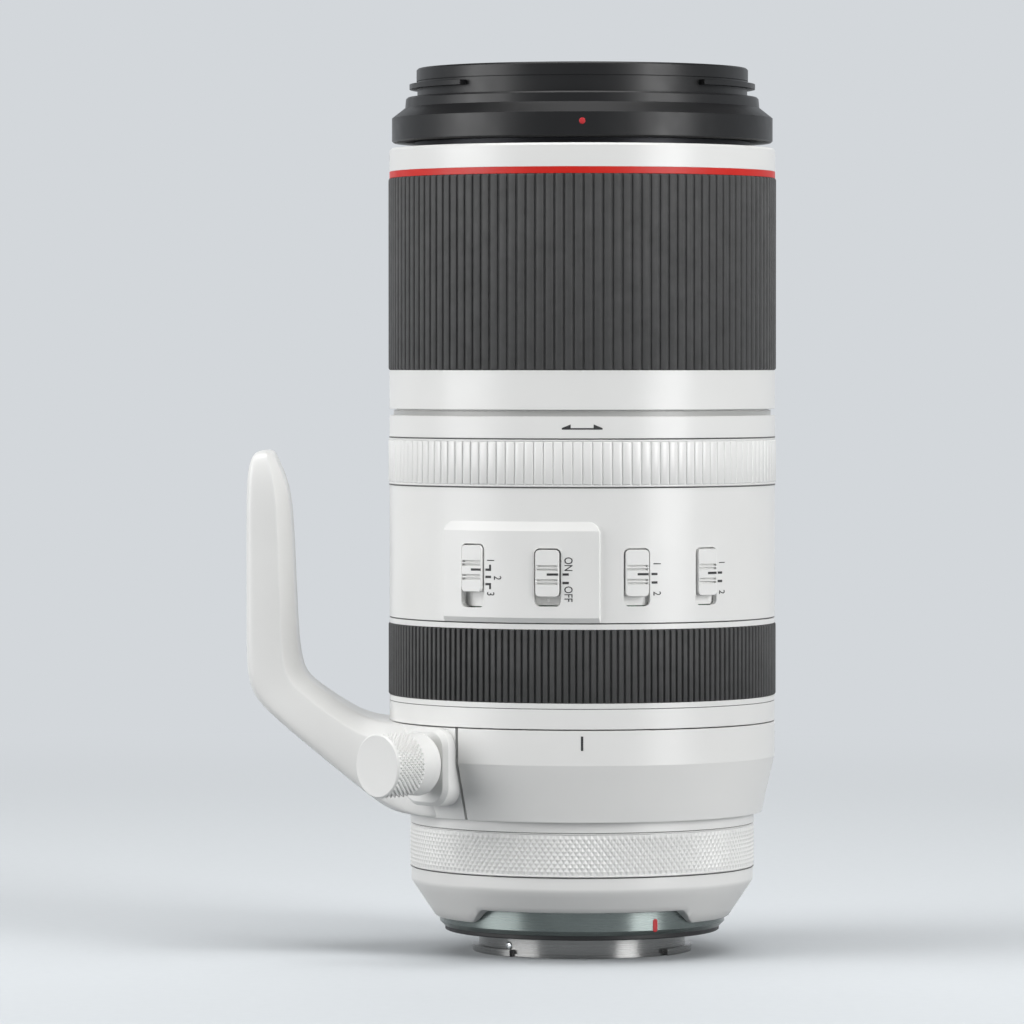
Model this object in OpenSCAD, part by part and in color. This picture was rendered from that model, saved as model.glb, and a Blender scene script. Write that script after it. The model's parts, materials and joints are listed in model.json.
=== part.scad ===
// Extending telephoto zoom lens standing on its bayonet.
// The mount flange face is z = 0 and the optical axis is +Z, towards the front glass.
// The switches face -Y and the tripod foot stands at -X.
// Angles in the settings are measured from -Y, positive towards +X.

/* [Outer barrel] */
// Radius of the white outer shells
body_r = 46.65; // [46.2:0.05:48]
// Radius of the control ring
control_r = 41.7; // [41.2:0.05:42.4]
// Wall of the outer shells
shell_wall = 1.35; // [1.3:0.05:1.5]
// Wall of the fixed sleeves under the rings
sleeve_wall = 1.1; // [1:0.05:1.3]
// Wall of the cam barrel and the guide barrel
cam_wall = 1.2; // [1:0.05:1.4]
// Wall of the extending tube
tube_wall = 1.4; // [1.2:0.05:1.8]
// Wall of the control ring
control_wall = 1.7; // [1.5:0.05:1.9]
// Wall of the rear barrel under the control ring
rear_wall = 1.4; // [1.2:0.05:1.6]
// Wall of the rear barrel under the tripod collar
seat_wall = 3.45; // [3:0.05:4]

/* [Stack along the axis] */
// Height of the metal mount ring
mount_len = 6; // [5:0.1:7]
// Height of the rear cover's lower edge above the flange
cover_lift = 2.5; // [2:0.1:3]
// Length of the cone on the rear cover
cover_cone_len = 8.8; // [8:0.1:9.5]
// Length of the straight part of the rear cover
cover_straight_len = 3.26; // [2.5:0.01:5]
// Length of the control ring
control_len = 10.68; // [9:0.01:13]
// Length of the bare strip between control ring and collar
strip_len = 2.56; // [1.5:0.01:4]
// Length of the tripod collar
collar_len = 22.2; // [20:0.1:26]
// Length of the band between collar and focus ring
rear_band_len = 4.7; // [4:0.1:6]
// Length of the focus ring
focus_len = 20.2; // [18:0.1:24]
// Length of the switch housing
switch_len = 31.85; // [30:0.05:36]
// Length of the tension ring
tension_len = 11.75; // [10:0.05:14]
// Length of the label band
label_len = 5.1; // [4:0.1:7]
// Length of the groove between label band and zoom ring
groove_len = 1.6; // [1.2:0.1:2.2]
// Length of the plain band on the zoom ring
scale_len = 9.3; // [8:0.1:11]
// Length of the zoom ring's rubber
zoom_grip_len = 46.3; // [44:0.1:52]
// Length of the red ring
red_len = 1.6; // [1.2:0.1:2]
// Length of the white band in front of the red ring
front_band_len = 5.6; // [5:0.1:7]
// Gap between the front band and the black nose when drawn in
nose_gap = 1.4; // [1:0.1:2]

/* [Grips] */
// Height by which the rubber stands proud of the shells
grip_proud = 0.25; // [0.1:0.05:0.4]
// Thickness of the rubber sleeves
grip_thick = 0.8; // [0.7:0.05:0.9]
// Depth of the grooves between ribs
rib_depth = 0.5; // [0.3:0.05:0.6]
// Number of ribs on the zoom ring's rubber
zoom_ribs = 128; // [96:1:150]
// Number of ribs on the tension ring
tension_ribs = 126; // [96:1:150]
// Number of ribs on the focus ring's rubber
focus_ribs = 180; // [120:1:200]
// Height of the white rims beside the focus rubber
focus_rim = 1.25; // [0.8:0.05:2]

/* [Front] */
// Inset of the black nose from the white shells
nose_inset = 0.6; // [0.3:0.05:1]
// Length of the nose's cylindrical skirt
skirt_len = 5.9; // [5:0.1:7]
// Length of the nose's cone
nose_cone_len = 2.5; // [2:0.1:3.5]
// Length of the step above the cone
nose_step_len = 2.5; // [2:0.1:4]
// Length of the neck below the hood lugs
neck_len = 2; // [1:0.1:2.6]
// Thickness of the hood lugs
hood_flange_len = 1.2; // [1:0.1:2]
// Length of the lip in front of the hood lugs
lip_len = 3.1; // [2.5:0.1:4]
// Wall radius of the filter thread
filter_r = 38.3; // [37:0.1:38.5]
// Step from the filter thread down to the holder of the front glasses
filter_step = 0.9; // [0.6:0.05:1.2]
// Wall of the front lip round the filter thread
lip_wall = 1.8; // [1.5:0.1:2.2]
// Reach of the hood lugs beyond the lip
hood_lug = 1.7; // [1.2:0.1:2]
// Reach of the step beyond the lip
step_reach = 2.55; // [2.2:0.05:3]
// Angle of each hood lug
hood_lug_angle = 92; // [60:1:100]

/* [Zoom mechanism] */
// Turn of the zoom ring
zoom_turn = 80; // [60:1:90]
// Travel of the front barrel
zoom_travel = 83; // [70:0.5:84]
// Travel of the inner zoom carrier
carrier_travel = 24; // [18:0.5:25]
// Radius of the cam rollers
roller_r = 1.5; // [1.2:0.1:1.7]
// Side clearance of a roller in its slot
slot_gap = 0.3; // [0.25:0.05:0.4]
// Turn of the tension ring
tension_turn = 60; // [30:1:70]

/* [Mount] */
// Radius of the metal mount ring
mount_r = 34.5; // [34:0.1:35]
// Radius of the bayonet tube
bayonet_r = 25; // [24.5:0.1:25.4]
// Wall of the bayonet tube
bayonet_wall = 2.2; // [1.8:0.1:2.6]
// Depth of the bayonet behind the flange
bayonet_depth = 6; // [5.5:0.1:6.5]
// Reach of the bayonet lugs
lug_reach = 1.5; // [1.2:0.1:1.7]
// Thickness of the bayonet lugs
lug_thick = 1.6; // [1.2:0.1:2]
// Angle covered by each bayonet lug
lug_angle = 54; // [40:1:70]
// Height of the sealing lip below the flange
seal_drop = 1; // [0.6:0.1:1.2]

/* [Tripod collar] */
// Wall of the tripod collar
collar_wall = 4.7; // [4.4:0.1:5.5]
// Inset of the collar's lower edge
collar_taper = 3.15; // [2:0.05:3.4]
// Length of the collar's taper
collar_taper_len = 13.6; // [10:0.1:16]
// Distance from the axis to the foot's sole
sole_reach = 81; // [76:0.5:92]
// Width of the foot's sole
foot_w = 25; // [20:0.5:30]
// Width of the foot's arm where it joins the collar
foot_root_w = 42; // [34:0.5:44]
// Height of the sole's front tip above the flange
sole_top = 114.8; // [108:0.2:124]
// Height of the sole's rear end above the flange
sole_low = 54; // [53:0.2:58]
// Thickness of the sole plate at its heel
sole_thick = 13; // [11:0.2:14]
// Thickness of the sole plate at its tip
tip_thick = 9.2; // [8:0.2:10]
// Wall radius of the tripod thread
tripod_thread_r = 2.6; // [2.4:0.05:2.8]
// Length of the tripod bush
bush_len = 8; // [6:0.5:9]
// Angle of the clamp knob
knob_angle = -46.2; // [-52:0.2:-44]
// Radius of the clamp knob
knob_r = 7.7; // [6.5:0.1:8.5]
// Length of the clamp knob
knob_len = 14.9; // [11:0.1:17]
// Radius of the clamp screw
screw_r = 2.5; // [2:0.1:3]
// Width of the clamp lug
clamp_lug_w = 15.4; // [14:0.1:17]
// Shift of the clamp lug from the knob's axis, away from the slit
clamp_lug_shift = 2.7; // [2:0.1:3.2]
// Height of the clamp lug's face above the collar
clamp_lug_proud = 2.95; // [2.5:0.05:4]

/* [Switches] */
// Width of a switch knob
switch_w = 5.7; // [5:0.1:7]
// Height of a switch knob
switch_h = 11; // [9:0.1:12]
// Height by which a switch knob stands proud
switch_proud = 0.6; // [0.4:0.05:1]
// Travel of the two-position switches
short_travel = 2; // [1.5:0.1:2.4]
// Travel of the three-position switch
long_travel = 3.4; // [2.6:0.1:3.6]
// Height of the raised panel round the left pair of switches
panel_proud = 0.9; // [0.5:0.05:1.2]

/* [Clearances] */
// Running clearance between pieces that move
run_gap = 0.3; // [0.25:0.05:0.4]
// Seam between neighbouring rings
seam = 0.3; // [0.25:0.05:0.5]
// Seating clearance between pieces fixed together
seat_gap = 0.03; // [0.02:0.01:0.05]
// Running clearance of a shaft in its bearing
shaft_gap = 0.06; // [0.03:0.01:0.1]

/* [Hidden] */
$fn = 256;

// Heights of the rings above the flange
cone_z = cover_lift + cover_cone_len;
control_z = cone_z + cover_straight_len;
strip_z = control_z + control_len;
collar_z = strip_z + strip_len;
band_z = collar_z + collar_len;
focus_z = band_z + rear_band_len;
switch_z = focus_z + focus_len;
tension_z = switch_z + switch_len;
label_z = tension_z + tension_len;
groove_z = label_z + label_len;
scale_z = groove_z + groove_len;
grip_z = scale_z + scale_len;
red_z = grip_z + zoom_grip_len;
front_band_z = red_z + red_len;
front_band_top = front_band_z + front_band_len;
nose_z = front_band_top + nose_gap;
nose_cone_z = nose_z + skirt_len;
nose_step_z = nose_cone_z + nose_cone_len;
neck_z = nose_step_z + nose_step_len;
lug_drop = 0.7;
thread_depth = 5.9;
hood_z = neck_z + neck_len;
lip_z = hood_z + hood_flange_len + lug_drop;
front_z = lip_z + lip_len;

// Radii of the nested barrels, from the shells inwards
shell_in = body_r - shell_wall;
sleeve_r = shell_in - run_gap;
sleeve_in = sleeve_r - sleeve_wall;
cam_r = sleeve_in - run_gap;
cam_in = cam_r - cam_wall;
guide_r = cam_in - run_gap;
guide_in = guide_r - cam_wall;
tube_r = guide_in - run_gap;
tube_in = tube_r - tube_wall;
grip_r = body_r + grip_proud;
grip_seat_r = grip_r - grip_thick;
control_in = control_r - control_wall;
spigot_r = control_in - run_gap;
collar_r = body_r;
collar_bore = collar_r - collar_wall;
rear_r = collar_bore - run_gap;
spigot_in = spigot_r - rear_wall;
seat_in = rear_r - seat_wall;
plate_seat = 1.2;
plate_seat_r = seat_in + plate_seat;
guide_ledge = 1.3;
guide_ledge_len = 1;
guide_ledge_in = guide_in - guide_ledge;
collar_low_r = collar_r - collar_taper;
cover_inset = 0.3;
cover_r = control_r - cover_inset;
cover_wall = 1.5;
cover_foot = 1;
cover_foot_r = mount_r + cover_foot;
nose_r = body_r - nose_inset;
lip_r = filter_r + lip_wall;
hood_r = lip_r + hood_lug;
step_r = lip_r + step_reach;

// Rear end; the bore of the rear barrel steps where its outside does not
floor_thick = 2.5;
floor_z = mount_len + floor_thick;
bore_web = 1.5;
bore_step_z = seat_in < spigot_in ? strip_z - bore_web : collar_z;
floor_in = cone_r_at(floor_z) - cover_wall - seat_gap - rear_wall;
rear_in = min(spigot_in, seat_in, floor_in);
hub_wall = 1;
hub_in = bayonet_r - hub_wall;
throat_r = bayonet_r - bayonet_wall;
cell_gap = 0.1;
cell_rear_r = throat_r - cell_gap;
cell_rear_wall = 2.2;
cell_rear_in = cell_rear_r - cell_rear_wall;
cell_rear_z = -1;
rear_edge = 4;
baffle_z = -3;
baffle_thick = 1.2;
contact_count = 12;
contact_pitch = 7;
contact_len = 1.4;
contact_reach = 4;
contact_r = 0.8;
contact_rise = 0.3;
seal_in = mount_r - 3;
seal_out = mount_r - 1.3;
seal_depth = 1;
lug_places = [-68, 78, 185];

// Click plunger of the control ring
detent_angle = 0;
detent_r = 1.5;
detent_wall = 0.6;
detent_tail = 1.5;

// Focus group
rod_r = 1.5;
rod_reach = 30;
rod_places = [50, 130];
rod_plate_z = collar_z + 18.2;
rod_plate_thick = 2;
carriage_z = floor_z + 15.5;
carriage_len = 8;
focus_lens_r = 20;
carriage_r = focus_lens_r + 4;
motor_in = 27;
motor_w = 9;
board_z = floor_z + 2;
board_thick = 1.5;
stabiliser_lens_r = 22;
stabiliser_len = 5.6;

// Zoom mechanism
slot_w = 2 * (roller_r + slot_gap);
slot_end = roller_r + slot_gap + 0.8;
carrier_roller_z = focus_z + 5.6;
front_roller_z = carrier_roller_z + carrier_travel + 2 * slot_end + 2.8;
carrier_half = 4.5;
roller_sink = 2.4;
carrier_places = [0, 120, 240];
front_places = [60, 180, 300];
cam_z = focus_z + 0.5;
cam_top = front_band_z + 1;
guide_top = cam_top + 1;
zoom_lens_r = 28;
zoom_lens_edge = 7;
key_angle = 14;
key_len = 6;
shoe_angle = 12;
shoe_places = [20, 140, 260];

// Front group
thread_z = front_z - thread_depth;
cell_r = min(tube_in, filter_r + filter_step) - seat_gap;
cell_wall = 2.2;
cell_in = cell_r - cell_wall;
front_edge = 5;
front_edge_top = thread_z - 7;
ledge_len = 8;
ledge_w = 1.5;
ledge_z = front_edge_top - front_edge - ledge_len;
middle_edge = 3;
inner_edge = 5.5;
cell_z = ledge_z - middle_edge - inner_edge - 1;
front_curve = 120;
back_curve = 250;
middle_curve = 200;
retainer_w = 2;
hood_sides = [-90, 90];

// Switches: angle round the barrel, travel and height of the knob's lower edge at rest
window_gap = 0.35;
switch_corner = 1;
plate_rise = 0.2;
long_rest_z = switch_z + 2 * long_travel + window_gap + plate_rise;
short_rest_z = switch_z + 2 * short_travel + window_gap + 2.05;
plate_in = sleeve_r - 0.3;
plate_out = sleeve_r + 0.15;
plate_half = 5.4;
mode_angle = -33;
stabiliser_angle = -9.9;
focus_mode_angle = 16.1;
range_angle = 39.1;
switch_places = [[mode_angle, long_travel, long_rest_z], [stabiliser_angle, short_travel, short_rest_z],
  [focus_mode_angle, short_travel, short_rest_z], [range_angle, short_travel, short_rest_z]];
switch_sector = [-48, 54];
panel_sector = [-44.3, 5.3];
panel_top = switch_z + 24;
panel_bevel = 2.2;
panel_chamfer = 1.2;
panel_corner = 3;
panel_root = 0.4;
groove_deep = 1.05;
panel_half = body_r * sin((panel_sector[1] - panel_sector[0]) / 2);
sleeve_top = switch_z + 5;
shoulder = 2.2;

// Tripod foot: centres of the rounded bars that the foot is drawn through
heel_r = sole_thick / 2;
tip_r = tip_thick / 2;
bar_edge = 3;
root_r = 3.2;
root_top_z = band_z - run_gap - root_r;
root_lift = 0.4;
root_low_z = collar_z + root_r + root_lift;
thread_height = 87.5;
root_sink = 6;
root_trim = 6;
root_out = 1;
elbow_out = 6.9;
bush_wall = 2;
collar_top = band_z - run_gap;
slit_w = 0.8;
clamp_lug_reach = collar_r + clamp_lug_proud;
lug_low = collar_z + 3.2;
lug_corner = 5;
lug_round = 1;
lug_edge = clamp_lug_w / 2 - clamp_lug_shift;
knob_neck = 2.1;
knob_cap = 4;
neck_wall = 1.2;
knob_lift = 1;
knob_z = (lug_low + collar_top) / 2 + knob_lift;

// A tube between two heights
module tube(r_out, r_in, z0, z1) {
  translate([0, 0, z0])
    difference() {
      cylinder(r = r_out, h = z1 - z0);
      translate([0, 0, -1])
        cylinder(r = r_in, h = z1 - z0 + 2);
    }
}

// A revolved outline of [radius, height] points
module turned(points) {
  rotate_extrude()
    polygon(points);
}

// A revolved sector of a rectangular section, from angle a0 to a1 measured from -Y
module sector(r_out, r_in, z0, z1, a0, a1) {
  rotate([0, 0, a0 - 90])
    rotate_extrude(angle = a1 - a0)
      translate([r_in, z0])
        square([r_out - r_in, z1 - z0]);
}

// Puts its children on the barrel at an angle measured from -Y, with +X outwards
module around(angle) {
  rotate([0, 0, angle - 90])
    children();
}

// A rod along the outward direction of around()
module spoke(r, from, to, z) {
  translate([from, 0, z])
    rotate([0, 90, 0])
      cylinder(r = r, h = to - from);
}

// Height of a spherical cap of curvature radius c at radius r
function sag(c, r) = c - sqrt(c * c - r * r);

// Glass with a cylindrical edge from z0 to z1; a positive curve bulges outwards, a negative one is hollow
module glass(r, z0, z1, top, low) {
  crown = top > 0 ? sag(top, r) : 0;
  belly = low > 0 ? sag(low, r) : 0;
  rotate_extrude()
    difference() {
      intersection() {
        translate([0, z0 - belly])
          square([r, z1 - z0 + crown + belly]);
        if (top > 0)
          translate([0, z1 + crown - top])
            circle(r = top, $fn = 720);
        if (low > 0)
          translate([0, z0 - belly + low])
            circle(r = low, $fn = 720);
      }
      if (top < 0)
        translate([0, z1 - sag(-top, r) - top])
          circle(r = -top, $fn = 720);
      if (low < 0)
        translate([0, z0 + sag(-low, r) + low])
          circle(r = -low, $fn = 720);
    }
}

// A ring with straight ribs, as a toothed outline with a bore
module ribbed(r, depth, count, r_in, z0, z1) {
  step = 360 / count;
  outline = [for (i = [0:count - 1], k = [[0, r - depth], [0.3, r - depth], [0.42, r], [0.88, r]])
    [k[1] * cos((i + k[0]) * step), k[1] * sin((i + k[0]) * step)]];
  translate([0, 0, z0])
    difference() {
      linear_extrude(height = z1 - z0)
        polygon(outline);
      translate([0, 0, -1])
        cylinder(r = r_in, h = z1 - z0 + 2);
    }
}

// Radius of the rear cover's cone at a height, and the reverse
function cone_r_at(z) = cover_foot_r + (z - cover_lift) * (cover_r - cover_foot_r) / cover_cone_len;
function cone_z_at(r) = cover_lift + (r - cover_foot_r) * cover_cone_len / (cover_r - cover_foot_r);

// Helical slot cutter; the cam turns forwards as the roller climbs, so the slot winds backwards
module cam_slot(angle, z0, travel) {
  slope = atan(travel / (cam_r * zoom_turn * PI / 180));
  width = slot_w / sin(slope);
  lead = zoom_turn / travel;
  height = travel + 2 * slot_end;
  around(angle + lead * slot_end)
    translate([0, 0, z0 - slot_end])
      linear_extrude(height = height, twist = lead * height, slices = 40, segments = 4)
        translate([cam_in - 1, -width / 2])
          square([cam_wall + 2, width]);
}

// Straight slot cutter of the guide barrel
module guide_slot(angle, z0, travel) {
  around(angle)
    translate([guide_in - 1, -slot_w / 2, z0 - slot_end])
      cube([cam_wall + 2, slot_w, travel + 2 * slot_end]);
}

// Metal mount with its flange, tube and lugs
module mount_bayonet() {
  flange_in = bayonet_r + lug_reach + 0.7;
  chamfer = 1.1;
  bead = 0.4;
  bead_len = 0.6;
  step = 0.4;
  rim = 0.1;
  color("#8b9492")
    union() {
      turned([[throat_r, -bayonet_depth], [bayonet_r + bead, -bayonet_depth],
        [bayonet_r + bead, bead_len - bayonet_depth], [bayonet_r, bead_len - bayonet_depth],
        [bayonet_r, step], [flange_in, step], [flange_in, 0], [seal_in - seat_gap, 0],
        [seal_in - seat_gap, seal_depth], [seal_out + seat_gap, seal_depth], [seal_out + seat_gap, rim],
        [mount_r - chamfer, rim], [mount_r, chamfer + rim], [mount_r, mount_len], [seal_in, mount_len],
        [seal_in, mount_len / 2], [flange_in, mount_len / 2], [flange_in, mount_len], [throat_r, mount_len]]);
      for (a = lug_places)
        sector(bayonet_r + lug_reach, throat_r + 1, -bayonet_depth, lug_thick - bayonet_depth,
          a - lug_angle / 2, a + lug_angle / 2);
    }
}

// Rubber lip that seals the mount
module mount_seal() {
  color("#1c1c1d")
    turned([[seal_in, seal_depth - seat_gap], [seal_out, seal_depth - seat_gap], [seal_out, 0.2 - seal_drop],
      [seal_out - 0.4, -seal_drop], [seal_in + 0.6, -seal_drop], [seal_in, 0]]);
}

// Moulded block that carries the electrical contacts
module contact_block() {
  margin = 4;
  half = contact_count * contact_pitch / 2 + margin;
  top = baffle_z - baffle_thick;
  color("#202122")
    sector(throat_r - cell_gap, throat_r - contact_reach, top - contact_len, top, 90 - half, 90 + half);
}

// Row of gilt contacts
module contact_pins() {
  color("#c9a24a")
    for (i = [0:contact_count - 1])
      around(90 + (i - (contact_count - 1) / 2) * contact_pitch)
        translate([throat_r - contact_reach / 2, 0, baffle_z - baffle_thick - contact_len - contact_rise])
          cylinder(r = contact_r, h = contact_rise, $fn = 24);
}

// Black plate with a rectangular window behind the last glass
module rear_baffle() {
  window_w = 30;
  window_h = 22;
  color("#161617")
    difference() {
      turned([[0, baffle_z - baffle_thick], [cell_rear_r, baffle_z - baffle_thick],
        [cell_rear_r, cell_rear_z], [cell_rear_in, cell_rear_z], [cell_rear_in, baffle_z], [0, baffle_z]]);
      translate([-window_w / 2, -window_h / 2, baffle_z - baffle_thick - 1])
        cube([window_w, window_h, baffle_thick + 2]);
    }
}

// Holder of the rear glass, hung on the barrel's floor
module rear_cell() {
  flange_r = hub_in + 1.6;
  flange_z = floor_z + 1.4;
  ledge_in = cell_rear_in - 1;
  ledge_top = rear_edge + 1.5;
  color("#242526")
    turned([[cell_rear_in, cell_rear_z], [cell_rear_r, cell_rear_z], [cell_rear_r, floor_z],
      [flange_r, floor_z], [flange_r, flange_z], [cell_rear_in, flange_z], [cell_rear_in, ledge_top],
      [ledge_in, ledge_top],
      [ledge_in, rear_edge + seat_gap], [cell_rear_in, rear_edge + seat_gap]]);
}

// Rear glass
module rear_element() {
  color("#9fb4bc", 0.5)
    glass(cell_rear_in - seat_gap, 0, rear_edge, -110, 90);
}

// White conical cover with a notch that bares the mount ring on the side of the switches
module rear_cover() {
  notch_top = 22.4;
  notch_low = 25.5;
  notch_z = mount_len - 0.1;
  notch_from = mount_r / 2;
  color("#dfe0df")
    difference() {
      turned([[mount_r + seat_gap, cover_lift], [cover_foot_r, cover_lift], [cover_r, cone_z],
        [cover_r, control_z], [spigot_r + seat_gap, control_z],
        [spigot_r + seat_gap, cone_z_at(spigot_r + seat_gap + cover_wall)],
        [cone_r_at(mount_len) - cover_wall, mount_len], [mount_r + seat_gap, mount_len]]);
      rotate([90, 0, 0])
        translate([0, 0, notch_from])
          linear_extrude(height = cover_r)
            polygon([[-notch_low, cover_lift - 1], [notch_low, cover_lift - 1], [notch_low, cover_lift],
              [notch_top, notch_z], [-notch_top, notch_z], [-notch_low, cover_lift]]);
    }
}

// Main fixed barrel: floor, collar seat, rear band and the sleeve of the focus ring
module rear_barrel() {
  post_places = [190, 270, 350];
  post_r = 2;
  sink = 0.5;
  margin = 4;
  color("#e2e3e2")
    difference() {
      union() {
        turned([[hub_in, mount_len], [cone_r_at(mount_len) - cover_wall - seat_gap, mount_len],
          [spigot_r, cone_z_at(spigot_r + seat_gap + cover_wall)], [spigot_r, strip_z], [rear_r, strip_z],
          [rear_r, band_z], [body_r, band_z], [body_r, focus_z], [sleeve_r, focus_z],
          [sleeve_r, sleeve_top], [sleeve_in, sleeve_top], [sleeve_in, focus_z], [guide_ledge_in, focus_z],
          [guide_ledge_in, focus_z - guide_ledge_len], [plate_seat_r, focus_z - guide_ledge_len],
          [plate_seat_r, rod_plate_z], [seat_in, rod_plate_z], [seat_in, bore_step_z],
          [spigot_in, bore_step_z], [spigot_in, cone_z_at(spigot_r + seat_gap + cover_wall)],
          [floor_in, floor_z], [hub_in, floor_z]]);
        for (a = post_places)
          around(a)
            translate([rod_reach + post_r, 0, floor_z - sink])
              cylinder(r = post_r, h = board_z - floor_z + sink);
      }
      sector(sleeve_r + 1, sleeve_in - 1, switch_z, sleeve_top + 1, switch_sector[0] - margin,
        switch_sector[1] + margin);
      around(detent_angle)
        spoke(detent_r + seat_gap, spigot_in - 1, spigot_r + 1, (control_z + strip_z) / 2);
    }
}

// Spring plunger that makes the control ring click
module control_detent() {
  color("#b9bcbd")
    around(detent_angle)
      difference() {
        spoke(detent_r, spigot_in - detent_tail, spigot_r, (control_z + strip_z) / 2);
        spoke(detent_r - detent_wall, spigot_in - detent_tail - 1, spigot_r - detent_wall,
          (control_z + strip_z) / 2);
      }
}

// Main circuit board on its posts
module main_circuit_board() {
  margin = 0.8;
  inner = hub_in + 2.5;
  color("#2f6b46")
    sector(spigot_in - margin, inner, board_z, board_z + board_thick, 178, 362);
}

// Two polished rods that guide the focus group
module focus_rods() {
  color("#c8cacb")
    for (a = rod_places)
      around(a)
        translate([rod_reach, 0, floor_z])
          cylinder(r = rod_r, h = rod_plate_z + rod_plate_thick - floor_z);
}

// Linear motor of the focus group
module focus_motor() {
  margin = 1.2;
  headroom = 4;
  color("#3a3c3f")
    around(90)
      translate([motor_in, -motor_w / 2, floor_z])
        cube([rear_in - motor_in - margin, motor_w, rod_plate_z - floor_z - headroom]);
}

// Plate that holds the rods' front ends
module rod_plate() {
  color("#2b2c2e")
    difference() {
      tube(plate_seat_r - seat_gap, focus_lens_r - 2, rod_plate_z, rod_plate_z + rod_plate_thick);
      for (a = rod_places)
        around(a)
          translate([rod_reach, 0, rod_plate_z - 1])
            cylinder(r = rod_r + seat_gap, h = rod_plate_thick + 2);
    }
}

// Housing of the image stabiliser with its three coils
module stabiliser_unit() {
  base_z = rod_plate_z + rod_plate_thick;
  margin = 1;
  coil_places = [30, 150, 270];
  coil_half = 22;
  coil_rise = 1.2;
  coil_out = seat_in - 3;
  coil_in = stabiliser_lens_r + 4;
  rod_pocket = 0.5;
  color("#303134")
    difference() {
      union() {
        tube(seat_in - margin, stabiliser_lens_r + seat_gap, base_z, base_z + stabiliser_len - coil_rise);
        for (a = coil_places)
          sector(coil_out, coil_in, base_z + margin, base_z + stabiliser_len, a - coil_half, a + coil_half);
      }
      for (a = rod_places)
        around(a)
          translate([rod_reach, 0, base_z - 1])
            cylinder(r = rod_r + rod_pocket, h = 1 + rod_pocket);
    }
}

// Glass carried by the stabiliser
module stabiliser_lens() {
  base_z = rod_plate_z + rod_plate_thick;
  color("#9fb4bc", 0.5)
    glass(stabiliser_lens_r, base_z + 0.4, base_z + stabiliser_len - 1.6, 90, -160);
}

// Fixed barrel with straight slots that keep the rollers from turning
module guide_barrel() {
  color("#3c3d40")
    difference() {
      tube(guide_r, guide_in, focus_z, guide_top);
      for (a = carrier_places)
        guide_slot(a, carrier_roller_z, carrier_travel);
      for (a = front_places)
        guide_slot(a, front_roller_z, zoom_travel);
    }
}

// Shell with the switch windows, the raised panel and the spigot of the tension ring
module switch_housing() {
  low_z = switch_z + seam / 2;
  panel_r = body_r + panel_proud;
  color("#e0e1e0")
    difference() {
      union() {
        turned([[sleeve_r + seat_gap, low_z], [body_r, low_z], [body_r, tension_z], [sleeve_r, tension_z],
          [sleeve_r, label_z], [sleeve_in, label_z], [sleeve_in, tension_z - shoulder],
          [sleeve_r + seat_gap, tension_z - shoulder]]);
        intersection() {
          turned([[body_r - panel_root, low_z], [body_r, low_z], [panel_r, low_z + panel_chamfer],
            [panel_r, panel_top - panel_bevel], [body_r, panel_top], [body_r - panel_root, panel_top]]);
          around((panel_sector[0] + panel_sector[1]) / 2)
            rotate([0, 90, 0])
              linear_extrude(height = panel_r + 1)
                rounded([-panel_top, -panel_half], [panel_corner - low_z, panel_half], panel_corner);
        }
      }
      for (s = switch_places)
        around(s[0])
          switch_window(s[1], s[2]);
      for (a = shoe_places)
        sector(sleeve_r + 1, sleeve_in - 1, tension_z + 2, label_z - 2, a - shoe_angle / 2 - 3,
          a + shoe_angle / 2 + tension_turn + 3);
    }
}

// Window of one switch and the pocket behind it, at the angle given by around()
module switch_window(travel, rest_z) {
  w = switch_w + 2 * window_gap;
  z0 = rest_z - travel - window_gap;
  z1 = rest_z + switch_h + window_gap;
  side = 0.6;
  translate([sleeve_r - 1, 0, 0])
    rotate([0, 90, 0])
      linear_extrude(height = body_r + panel_proud + 2 - sleeve_r)
        rounded([-z1, -w / 2], [-z0, w / 2], switch_corner + window_gap);
  sector(plate_out + run_gap, sleeve_r - 1, z0 + plate_rise - travel - run_gap, z1 + travel + 2 * run_gap,
    90 - plate_half - side, 90 + plate_half + side);
}

// Rounded rectangle between two corners
module rounded(low, high, corner) {
  translate([low[0] + corner, low[1]])
    square([high[0] - low[0] - 2 * corner, high[1] - low[1]]);
  translate([low[0], low[1] + corner])
    square([high[0] - low[0], high[1] - low[1] - 2 * corner]);
  for (x = [low[0] + corner, high[0] - corner], y = [low[1] + corner, high[1] - corner])
    translate([x, y])
      circle(r = corner, $fn = 32);
}

// One switch knob: a thumb block on a curved plate that closes its window
module switch_knob(angle, travel, rest_z) {
  z0 = rest_z - travel - window_gap;
  z1 = rest_z + switch_h + window_gap;
  proud_r = body_r + switch_proud + (angle < panel_sector[1] ? panel_proud : 0);
  color("#e4e5e4")
    around(angle) {
      sector(plate_out, plate_in, z0 + plate_rise, z1 + travel, 90 - plate_half, 90 + plate_half);
      intersection() {
        rotate([0, 90, 0])
          linear_extrude(height = proud_r + 1)
            rounded([-rest_z - switch_h, -switch_w / 2], [-rest_z, switch_w / 2], switch_corner);
        tube(proud_r, plate_out - seat_gap, rest_z, rest_z + switch_h);
      }
    }
}

// Flexible board behind the switches
module switch_board() {
  color("#2f6b46")
    sector(plate_in - run_gap, sleeve_in + 0.05, switch_z + 3, tension_z - shoulder, switch_sector[0],
      switch_sector[1]);
}

// Band between tension ring and zoom ring, with the groove and the zoom ring's bearing
module label_band() {
  groove_r = body_r - groove_deep;
  bearing_len = 6;
  color("#e2e3e2")
    turned([[sleeve_in, label_z], [body_r, label_z], [body_r, groove_z], [groove_r, groove_z],
      [groove_r, scale_z - run_gap], [sleeve_r, scale_z - run_gap], [sleeve_r, scale_z + bearing_len],
      [sleeve_in, scale_z + bearing_len]]);
}

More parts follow.
